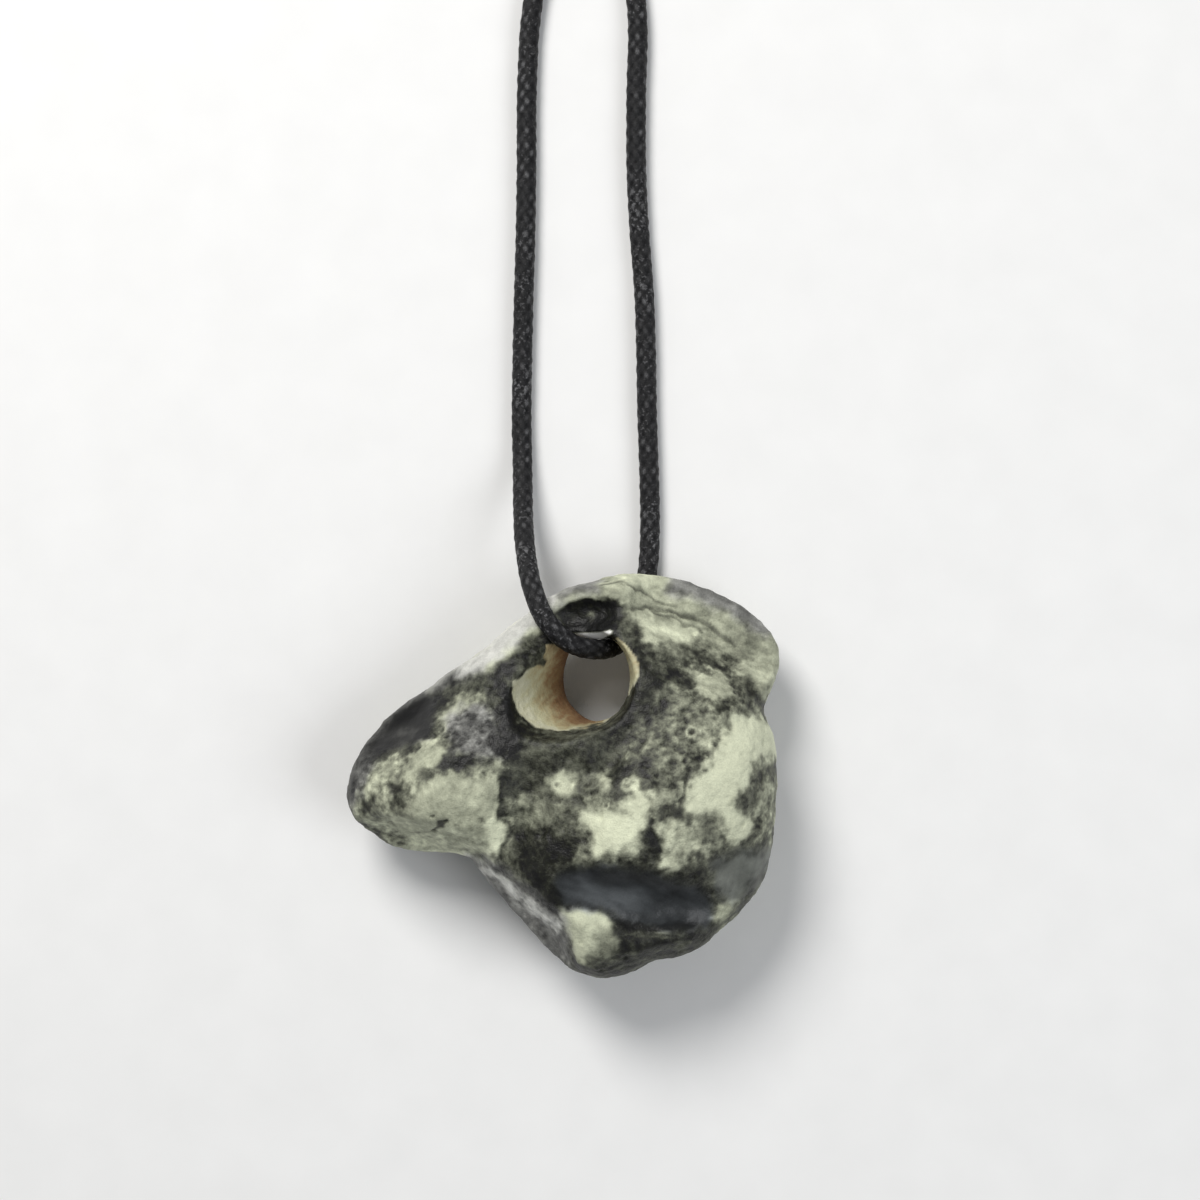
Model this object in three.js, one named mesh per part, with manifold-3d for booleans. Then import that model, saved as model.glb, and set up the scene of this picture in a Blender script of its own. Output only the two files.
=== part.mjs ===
// A hag stone: a flint pebble with a natural hole through it, threaded on a waxed cord.
//
// Millimetres, +Z up. The stone lies on the small flat spot on its back, so its front face looks up,
// +X is to the right across that face and +Y runs towards the hole. The origin is the middle of the
// stone's outline, on the surface that the stone lies on.
import * as THREE from "three";
import { ImprovedNoise } from "three/addons/math/ImprovedNoise.js";
import { mergeVertices } from "three/addons/utils/BufferGeometryUtils.js";
import Module from "manifold-3d";

const wasm = await Module();
wasm.setup();

// ---------------------------------------------------------------- driving dimensions, in mm

// The stone's outline seen from the front, anticlockwise.
const OUTLINE = [
  [21.5, -1.3], [21.4, 1.7], [20.8, 4.7], [20.0, 6.9], // right side, up to the notch
  [20.5, 8.5], [21.4, 10.8], [21.5, 12.9], [20.6, 14.7], [18.7, 16.4], // right shoulder
  [16.1, 17.9], [12.5, 19.3], [8.7, 20.0], [5.4, 20.0], [2.0, 19.3], [-0.8, 18.2], // over the hole
  [-5.0, 15.2], [-8.3, 12.2], [-12.4, 9.5], [-16.3, 6.8], [-19.1, 4.2], // slope down to the left lobe
  [-20.8, 1.6], [-21.5, -1.4], [-21.0, -4.1], [-19.1, -5.9], [-16.3, -7.3], // round end of the lobe
  [-12.8, -7.6], [-10.2, -7.8], [-8.5, -8.9], [-6.4, -11.8], [-3.6, -15.3], // under the lobe
  [-0.7, -18.1], [1.9, -19.8], [4.7, -20.1], [7.3, -19.5], [9.2, -18.4], // foot
  [12.1, -18.0], [13.9, -17.0], [15.5, -15.2], [17.5, -13.6], [19.4, -10.9], // second bump of the foot
  [20.7, -7.8], [21.3, -4.4],
];
const OUTLINE_CENTRE = [3.7, 0.2]; // every point of the outline is seen from here
const OUTLINE_SAMPLES = 720;

const RIM_HEIGHT = 7.6; // height of the widest line round the stone
const RIM_DIPS = [
  // where that line runs lower or higher, by the direction from OUTLINE_CENTRE
  { way: 62, spread: 46, height: -1.9 }, // behind the shoulder
  { way: 150, spread: 26, height: -0.8 }, // slope down to the lobe
  { way: 188, spread: 24, height: -0.7 }, // lobe
  { way: 300, spread: 40, height: 0.5 }, // foot
];
const FRONT_RISE = 8.8; // from that line up to the top of the front
const BACK_LEVEL = -0.3; // lowest height of the back, before the flat spot is cut at 0
const GROUND = { width: 60, depth: 10 }; // the block that cuts it, wider than the stone
const ROUNDNESS = 0.84; // 1 is an ellipsoid's section, less is a flatter face with a tighter edge
const SWELL_FADE = 1.7; // how soon the swells reach their full height, going in from that line
const LEAST_DOME = 0.3; // share of the dome that a slanting face leaves

const MERGE = 1e-4; // vertices nearer than this are one
const PEBBLE_DETAIL = 17; // subdivisions of the icosahedron
const POLE_PULL = 1.3; // over 1 draws its vertices from the widest line to the two faces
const GRAIN = [
  // wavelength and height of the natural unevenness
  { wave: 7.5, height: 0.36 },
  { wave: 3.4, height: 0.24 },
];

// Swells and hollows of the front. A crisp one has a flat middle and steep edges.
const FRONT_SWELLS = [
  { at: [-14.2, -2.0], size: [6.6, 4.8], turn: 22, height: 1.0 }, // left lobe
  { at: [-4.2, -3.6], size: [1.9, 6.6], turn: -8, height: -1.6 }, // step down beside the lobe
  { at: [-1.0, -4.0], size: [3.6, 6.0], turn: -20, height: -0.7 }, // saddle between lobe and body
  { at: [11.5, -0.8], size: [7.5, 6.0], turn: 25, height: 1.2 }, // crown of the body
  { at: [17.5, 1.0], size: [2.6, 4.6], turn: 10, height: 0.7 }, // swell at the right edge
  { at: [6.0, -6.0], size: [4.6, 2.4], turn: 12, height: 0.6 }, // brow over the scar
  { at: [7.6, -12.0], size: [7.2, 2.7], turn: -5, height: -1.7, crisp: true }, // smooth chip scar
  { at: [10.0, -16.2], size: [4.6, 1.0], turn: 8, height: 0.6 }, // lip under the scar
  { at: [1.6, -15.8], size: [3.2, 2.4], turn: -35, height: 0.8 }, // foot
  { at: [17.0, -10.2], size: [3.0, 3.4], turn: 40, height: -0.7 }, // worn corner
  { at: [18.6, 8.2], size: [3.6, 0.9], turn: -40, height: -1.7 }, // valley in from the notch
  { at: [19.0, 11.5], size: [2.4, 3.4], turn: 10, height: 1.1 }, // lobe of the shoulder
  { at: [11.0, 15.6], size: [7.0, 1.1], turn: -22, height: 0.7 }, // roll along the shoulder
  { at: [8.5, 18.4], size: [6.0, 0.8], turn: -12, height: 0.4 }, // second roll, near its edge
  { at: [-0.3, 14.6], size: [4.8, 3.2], turn: 25, height: -2.8 }, // bridge, where the cord lies
  { at: [2.6, 16.2], size: [3.3, 1.7], turn: 4, height: -1.8, crisp: true }, // hollow over the hole
  { at: [-7.6, 5.6], size: [3.0, 2.2], turn: 35, height: -0.7 }, // dip above the lobe
  { at: [-13.0, 5.6], size: [1.8, 1.3], turn: 40, height: -0.9, crisp: true }, // small chip
];
// Hollows of the back, which lift it off the ground.
const BACK_HOLLOWS = [
  { at: [8.0, 15.5], size: [6.5, 5.0], turn: -10, height: 2.9 }, // behind the hole
  { at: [-13.0, -0.5], size: [6.5, 5.5], turn: 25, height: 2.0 }, // lobe, thinner than the body
  { at: [-4.5, -3.0], size: [2.6, 8.0], turn: -18, height: 0.9 }, // saddle
  { at: [16.0, -8.0], size: [5.0, 7.0], turn: 30, height: 1.4 }, // worn corner
  { at: [1.0, -14.0], size: [5.0, 3.6], turn: -15, height: 1.2 }, // under the foot
  { at: [12.5, 4.5], size: [4.0, 2.0], turn: -30, height: 0.5 }, // long dent
];

// Slanting faces that cut the front's dome. Each is stated by two points, anticlockwise round the
// stone, by its heights at them, and by how fast it falls to the outside of the line between them.
const FACETS = [
  { from: [19.9, 7.4], to: [6.2, 13.9], height: [11.2, 12.6], fall: 1.05 }, // shoulder over the hole
  { from: [-9.6, 8.8], to: [-18.6, 2.2], height: [10.4, 9.6], fall: 1.2 }, // slope above the lobe
  { from: [-8.3, -7.4], to: [0.2, -15.2], height: [10.8, 11.4], fall: 2.0 }, // side under the lobe
];
const FACET_EASE = 0.8; // rounding of the ridges
const FACET_FADE = 0.9; // how fast a face lifts beyond its two points

// The hole: a throat that opens to the left on the front and to the upper right on the back.
const HOLE = {
  centre: [3.4, 9.85],
  throat: [3.25, 4.35],
  throatHeight: 6.6, // on average
  throatTilt: 2.0, // higher by this towards throatTiltWay, lower on the other side
  throatTiltWay: 20,
  frontReach: 13.0, // height at which the front flares are stated
  backReach: 1.5,
  frontFlares: [
    { way: 199, spread: 41, out: 5.4 },
    { way: 132, spread: 27, out: 3.4 },
  ],
  backFlares: [
    { way: 55, spread: 58, out: 5.8 },
    { way: 230, spread: 70, out: 0.9 },
  ],
  lip: 0.35, // flare all round
  curve: 1.2, // how the flares grow
  low: -1, // the solid that is cut out, past both faces
  high: 19,
  sides: 36,
  rows: 16,
};

// The cord: one loop of waxed cotton through the hole, its two ends tied together in a barrel knot. Its
// centre line starts at the knot, runs to the stone over its top edge, down through the hole, and
// back under that edge to the knot.
const CORD_DIAMETER = 2.0;
const CORD_SIDES = 8;
const CORD_STEP = 2.2; // along the route
const CORD_ROUTE = [
  [1.25, 94.0, 3.15],
  [1.0, 91.5, 2.85],
  [-0.3, 87.5, 1.9],
  [-2.2, 83.0, 1.15],
  [-3.3, 77.5, 1.05],
  [-3.75, 70.0, 1.05],
  [-3.8, 62.0, 1.05],
  [-3.9, 55.0, 1.05],
  [-4.1, 48.0, 1.05],
  [-4.25, 41.0, 1.05],
  [-4.3, 36.0, 1.05],
  [-4.2, 31.5, 1.6],
  [-4.1, 27.0, 3.6],
  [-3.8, 22.8, 6.8],
  [-3.0, 18.8, 9.6],
  [-1.6, 15.6, 11.1],
  [0.5, 13.55, 10.8],
  [2.9, 12.75, 9.3],
  [4.9, 12.95, 6.9],
  [6.45, 14.3, 4.2],
  [7.6, 16.5, 2.4],
  [8.3, 19.0, 1.4],
  [8.7, 22.0, 1.05],
  [8.8, 26.0, 1.05],
  [8.7, 31.0, 1.05],
  [8.5, 37.0, 1.05],
  [8.4, 43.0, 1.05],
  [8.2, 49.0, 1.05],
  [7.7, 55.5, 1.05],
  [7.4, 62.0, 1.05],
  [7.4, 69.0, 1.05],
  [7.5, 77.5, 1.05],
  [6.6, 83.0, 1.15],
  [4.9, 87.5, 1.9],
  [3.6, 91.5, 2.85],
  [3.35, 94.0, 3.15],
];
// The knot: three and a half turns of the cord round its own two strands, as a barrel of oval
// section, with the two short ends beyond it.
const KNOT = {
  start: 94.3, // 0.3 past the cord's two ends
  length: 8.6,
  middle: [2.3, 3.2], // its axis, across and up
  halfWidth: 4.15,
  halfHeight: 3.15,
  rounding: 1.1,
  sides: 20,
};
const TAILS = [
  [[1.25, 101.0, 3.2], [1.1, 104.0, 2.9], [0.2, 107.6, 1.6], [-1.6, 111.0, 1.05]],
  [[3.35, 101.0, 3.2], [3.6, 104.0, 2.9], [4.6, 107.4, 1.6], [5.4, 111.6, 1.05]],
];

// ---------------------------------------------------------------- helpers

const radians = THREE.MathUtils.degToRad;
const degrees = (angle) => (THREE.MathUtils.radToDeg(angle) + 360) % 360;
const QUARTER_TURN = Math.PI / 2;
const noise = new ImprovedNoise();

/** A smooth bell that is 1 at 0 and falls to 0.37 at 1. */
const bell = (x) => Math.exp(-x * x);

/** The smaller of a and b, eased over a width where they cross. */
function easedMin(a, b, ease) {
  const h = Math.max(ease - Math.abs(a - b), 0) / ease;
  return Math.min(a, b) - (h * h * ease) / 4;
}

/** The distance round the circle between two directions, in degrees. */
const turnBetween = (a, b) => Math.abs(((a - b + 540) % 360) - 180);

/** The height that a list of swells adds at a point of the face. */
function swell(list, x, y) {
  let height = 0;
  for (const s of list) {
    const a = radians(s.turn);
    const along = (x - s.at[0]) * Math.cos(a) + (y - s.at[1]) * Math.sin(a);
    const across = (y - s.at[1]) * Math.cos(a) - (x - s.at[0]) * Math.sin(a);
    const share = Math.hypot(along / s.size[0], across / s.size[1]);
    height += s.height * bell(s.crisp ? share ** 2 : share);
  }
  return height;
}

/** The height of the stone's widest line in a direction in degrees. */
function rimHeight(way) {
  let height = RIM_HEIGHT;
  for (const dip of RIM_DIPS) height += dip.height * bell(turnBetween(way, dip.way) / dip.spread);
  return height;
}

/** A geometry with only its positions, and its shared vertices merged. */
function bare(geometry) {
  geometry.deleteAttribute("normal");
  geometry.deleteAttribute("uv");
  return mergeVertices(geometry, MERGE);
}

/** A closed geometry as a solid that can be cut and joined. */
function solidOf(geometry) {
  return new wasm.Manifold(
    new wasm.Mesh({
      numProp: 3,
      vertProperties: new Float32Array(geometry.attributes.position.array),
      triVerts: new Uint32Array(geometry.index.array),
    }),
  );
}

/** A cut solid as a geometry again. */
function geometryOf(solid) {
  const mesh = solid.getMesh();
  const geometry = new THREE.BufferGeometry();
  geometry.setAttribute("position", new THREE.BufferAttribute(mesh.vertProperties, 3));
  geometry.setIndex(new THREE.BufferAttribute(mesh.triVerts, 1));
  geometry.computeVertexNormals();
  return geometry;
}

// ---------------------------------------------------------------- the stone

/** The outline's distance from OUTLINE_CENTRE in each direction. */
function outlineReach() {
  const corners = OUTLINE.map(([x, y]) => new THREE.Vector3(x, y, 0));
  const curve = new THREE.CatmullRomCurve3(corners, true, "centripetal");
  const rays = curve.getPoints(OUTLINE_SAMPLES).map((p) => {
    const x = p.x - OUTLINE_CENTRE[0];
    const y = p.y - OUTLINE_CENTRE[1];
    return { way: Math.atan2(y, x), reach: Math.hypot(x, y) };
  });
  rays.sort((a, b) => a.way - b.way);
  return (way) => {
    const next = rays.findIndex((ray) => ray.way >= way);
    const b = rays[next < 0 ? 0 : next];
    const a = rays.at((next < 0 ? 0 : next) - 1);
    const gap = (b.way - a.way + 2 * Math.PI) % (2 * Math.PI);
    const share = gap > 0 ? ((way - a.way + 2 * Math.PI) % (2 * Math.PI)) / gap : 0;
    return THREE.MathUtils.lerp(a.reach, b.reach, Math.min(share, 1));
  };
}

/** The front's height at a point, cut back to the slanting faces. */
function cutToFacets(z, x, y) {
  let height = z;
  for (const { from, to, height: ends, fall } of FACETS) {
    const run = [to[0] - from[0], to[1] - from[1]];
    const length = Math.hypot(...run);
    const along = ((x - from[0]) * run[0] + (y - from[1]) * run[1]) / length;
    const inside = ((y - from[1]) * run[0] - (x - from[0]) * run[1]) / length;
    const share = THREE.MathUtils.clamp(along / length, 0, 1);
    const past = Math.abs(along - share * length);
    const level = THREE.MathUtils.lerp(ends[0], ends[1], share) + FACET_FADE * past;
    height = easedMin(height, level + fall * inside, FACET_EASE);
  }
  return height;
}

/** The front's height at a point, which is seen from the middle in a direction, at a sphere's height. */
function frontHeight(x, y, way, sphere) {
  const rim = rimHeight(degrees(way));
  const dome = FRONT_RISE * sphere ** ROUNDNESS;
  const relief = swell(FRONT_SWELLS, x, y) * Math.min(1, sphere * SWELL_FADE);
  const least = rim + LEAST_DOME * dome;
  return -easedMin(-cutToFacets(rim + dome + relief, x, y), -least, FACET_EASE);
}

/** The back's height, in the same way. */
function backHeight(x, y, way, sphere) {
  const rim = rimHeight(degrees(way));
  const drawn = THREE.MathUtils.lerp(rim, BACK_LEVEL, sphere);
  return drawn + swell(BACK_HOLLOWS, x, y) * Math.min(1, sphere * SWELL_FADE);
}

/** The pebble without its hole: a sphere drawn out to the outline, with its swells and facets. */
function pebble() {
  const geometry = bare(new THREE.IcosahedronGeometry(1, PEBBLE_DETAIL));
  const reachOf = outlineReach();
  const position = geometry.attributes.position;
  const point = new THREE.Vector3();
  for (let i = 0; i < position.count; i++) {
    point.fromBufferAttribute(position, i);
    const way = Math.atan2(point.y, point.x);
    const fromPole = QUARTER_TURN * (Math.acos(Math.min(Math.abs(point.z), 1)) / QUARTER_TURN) ** POLE_PULL;
    const out = reachOf(way) * Math.sin(fromPole) ** ROUNDNESS;
    const x = OUTLINE_CENTRE[0] + out * Math.cos(way);
    const y = OUTLINE_CENTRE[1] + out * Math.sin(way);
    const sphere = Math.cos(fromPole);
    const z = point.z > 0 ? frontHeight(x, y, way, sphere) : backHeight(x, y, way, sphere);
    position.setXYZ(i, x, y, z);
  }
  geometry.computeVertexNormals();
  roughen(geometry);
  return geometry;
}

/** Moves the surface in and out by the natural unevenness. */
function roughen(geometry) {
  const { position, normal } = geometry.attributes;
  const point = new THREE.Vector3();
  const out = new THREE.Vector3();
  for (let i = 0; i < position.count; i++) {
    point.fromBufferAttribute(position, i);
    out.fromBufferAttribute(normal, i);
    let height = 0;
    for (const { wave, height: most } of GRAIN)
      height += most * noise.noise(point.x / wave, point.y / wave, point.z / wave);
    point.addScaledVector(out, height);
    position.setXYZ(i, point.x, point.y, point.z);
  }
}

/** How far the hole reaches from its centre, in a direction in degrees and at a height. */
function holeReach(way, z) {
  const a = radians(way);
  const [wide, tall] = HOLE.throat;
  const throat = (wide * tall) / Math.hypot(tall * Math.cos(a), wide * Math.sin(a));
  const level = HOLE.throatHeight + HOLE.throatTilt * Math.cos(radians(way - HOLE.throatTiltWay));
  const front = z > level;
  const reach = front ? HOLE.frontReach : HOLE.backReach;
  let out = HOLE.lip;
  for (const flare of front ? HOLE.frontFlares : HOLE.backFlares)
    out += flare.out * bell(turnBetween(way, flare.way) / flare.spread);
  return throat + out * ((z - level) / (reach - level)) ** HOLE.curve;
}

/** The solid that the hole takes out of the pebble. */
function holeSolid() {
  const { low, high, sides, rows } = HOLE;
  const geometry = new THREE.CylinderGeometry(1, 1, high - low, sides, rows).rotateX(Math.PI / 2);
  geometry.translate(0, 0, (high + low) / 2);
  const tool = bare(geometry);
  const position = tool.attributes.position;
  for (let i = 0; i < position.count; i++) {
    const [x, y, z] = [position.getX(i), position.getY(i), position.getZ(i)];
    const way = Math.atan2(y, x);
    const out = Math.hypot(x, y) * holeReach(degrees(way), z);
    position.setXY(i, HOLE.centre[0] + out * Math.cos(way), HOLE.centre[1] + out * Math.sin(way));
  }
  return solidOf(tool);
}

/** A block with its top on the surface that the stone lies on, which cuts the stone's flat spot. */
function groundSolid() {
  const block = new THREE.BoxGeometry(GROUND.width, GROUND.width, GROUND.depth);
  return solidOf(bare(block.translate(0, 0, -GROUND.depth / 2)));
}

function stone() {
  const solid = solidOf(pebble()).subtract(holeSolid()).subtract(groundSolid());
  const flint = new THREE.MeshStandardMaterial({ color: 0x6f7164, roughness: 0.6, metalness: 0 });
  const mesh = new THREE.Mesh(geometryOf(solid), flint);
  mesh.name = "stone";
  return mesh;
}

// ---------------------------------------------------------------- the cord and its knot

/** A solid round cord along a list of points. */
function cordAlong(points, step) {
  const route = new THREE.CatmullRomCurve3(points.map((p) => new THREE.Vector3(...p)), false, "centripetal");
  const section = new THREE.Shape();
  for (let side = 0; side < CORD_SIDES; side++) {
    const angle = (side / CORD_SIDES) * 2 * Math.PI;
    const x = (CORD_DIAMETER / 2) * Math.cos(angle);
    const y = (CORD_DIAMETER / 2) * Math.sin(angle);
    if (side === 0) section.moveTo(x, y);
    else section.lineTo(x, y);
  }
  section.closePath();
  const steps = Math.round(route.getLength() / step);
  return new THREE.ExtrudeGeometry(section, { steps, extrudePath: route, bevelEnabled: false });
}

const waxedCotton = new THREE.MeshStandardMaterial({ color: 0x26262a, roughness: 0.55, metalness: 0 });

function cord() {
  const mesh = new THREE.Mesh(cordAlong(CORD_ROUTE, CORD_STEP), waxedCotton);
  mesh.name = "cord";
  return mesh;
}

/** The knot's barrel, joined to the two short ends. */
function knot() {
  const { start, length, middle, halfWidth, halfHeight, rounding, sides } = KNOT;
  const profile = [
    new THREE.Vector2(0, 0),
    new THREE.Vector2(halfWidth - rounding, 0),
    new THREE.Vector2(halfWidth, rounding),
    new THREE.Vector2(halfWidth, length - rounding),
    new THREE.Vector2(halfWidth - rounding, length),
    new THREE.Vector2(0, length),
  ];
  const barrel = bare(new THREE.LatheGeometry(profile, sides));
  barrel.scale(1, 1, halfHeight / halfWidth).translate(middle[0], start, middle[1]);
  let solid = solidOf(barrel);
  for (const tail of TAILS) solid = solid.add(solidOf(bare(cordAlong(tail, CORD_STEP))));
  const mesh = new THREE.Mesh(geometryOf(solid), waxedCotton.clone());
  mesh.name = "knot";
  return mesh;
}

// ---------------------------------------------------------------- the whole part

const part = new THREE.Group();
part.add(stone());
part.add(cord());
part.add(knot());

export default part;
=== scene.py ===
"""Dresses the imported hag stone: a weathered flint pebble with a natural hole, lying front up, with the
braided cord that is threaded through it. Lengths are in millimetres until a mesh or an object is made.
"""

import math

import bmesh
import bpy
import numpy as np
from mathutils import Matrix


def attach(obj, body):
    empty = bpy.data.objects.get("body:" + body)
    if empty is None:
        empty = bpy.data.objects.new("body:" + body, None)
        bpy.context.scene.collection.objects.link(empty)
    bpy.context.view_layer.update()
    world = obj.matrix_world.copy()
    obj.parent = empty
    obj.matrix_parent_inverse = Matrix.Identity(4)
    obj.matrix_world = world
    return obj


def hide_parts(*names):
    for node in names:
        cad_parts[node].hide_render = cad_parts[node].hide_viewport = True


MM = 0.001

# ---- the view and the cord's route

VIEW_MIDDLE = (3.7, 17.65)  # the middle of the picture
VIEW_WIDTH = 120.0  # what the picture takes in, across the stone's widest line
VIEW_LEVEL = 8.0  # height of that line
LENS = 100.0
SENSOR = 36.0
CAMERA_HEIGHT = VIEW_LEVEL + VIEW_WIDTH * LENS / SENSOR

CORD_ROUTE = [  # metres, as the solids have it, from the knot round the loop to the knot
    (0.00125, 0.0940, 0.00315), (0.0010, 0.0915, 0.00285), (-0.0003, 0.0875, 0.0019),
    (-0.0022, 0.0830, 0.00115), (-0.0033, 0.0775, 0.00105), (-0.00375, 0.0700, 0.00105),
    (-0.0038, 0.0620, 0.00105), (-0.0039, 0.0550, 0.00105), (-0.0041, 0.0480, 0.00105),
    (-0.00425, 0.0410, 0.00105), (-0.0043, 0.0360, 0.00105), (-0.0042, 0.0315, 0.0016),
    (-0.0041, 0.0270, 0.0036), (-0.0038, 0.0228, 0.0068), (-0.0030, 0.0188, 0.0096),
    (-0.0016, 0.0156, 0.0111), (0.0005, 0.01355, 0.0108), (0.0029, 0.01275, 0.0093),
    (0.0049, 0.01295, 0.0069), (0.00645, 0.0143, 0.0042), (0.0076, 0.0165, 0.0024), (0.0083, 0.0190, 0.0014),
    (0.0087, 0.0220, 0.00105), (0.0088, 0.0260, 0.00105), (0.0087, 0.0310, 0.00105),
    (0.0085, 0.0370, 0.00105), (0.0084, 0.0430, 0.00105), (0.0082, 0.0490, 0.00105),
    (0.0077, 0.0555, 0.00105), (0.0074, 0.0620, 0.00105), (0.0074, 0.0690, 0.00105),
    (0.0075, 0.0775, 0.00105), (0.0066, 0.0830, 0.00115), (0.0049, 0.0875, 0.0019),
    (0.0036, 0.0915, 0.00285), (0.00335, 0.0940, 0.00315),
]
INTO_KNOT = 0.002  # how far the cord's two ends run on inside the knot
TAIL_ROUTES = [  # metres, from inside the knot to the tips of the two short ends
    [(0.00125, 0.0955, 0.0032), (0.00125, 0.1010, 0.0032), (0.0011, 0.1040, 0.0029),
     (0.0002, 0.1076, 0.0016), (-0.0016, 0.1110, 0.00105)],
    [(0.00335, 0.0955, 0.0032), (0.00335, 0.1010, 0.0032), (0.0036, 0.1040, 0.0029),
     (0.0046, 0.1074, 0.0016), (0.0054, 0.1116, 0.00105)],
]

# ---- the stone's markings

SHOULDER = [  # the band over the hole
    (-3, 17.6), (1.6, 22), (8, 23), (14.6, 22), (22.4, 17.2), (24, 12.8), (21.4, 8.4),
    (19.8, 7.4), (18.6, 9.6), (16, 11.8), (13, 12.9), (9, 13.1), (7.6, 13.4), (6.6, 15.6), (4.6, 17.5),
    (1, 17.9),
]
SCAR = [  # the smooth, blue-black scar where a chip came off
    (-0.6, -9.8), (2.4, -9), (7, -9.3), (10.9, -10.3), (13.8, -11.2), (14.8, -12.8), (14.2, -15),
    (11, -15.4), (6.6, -14.8), (4.8, -13.6), (0, -12.9), (-1, -11.4),
]
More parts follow.
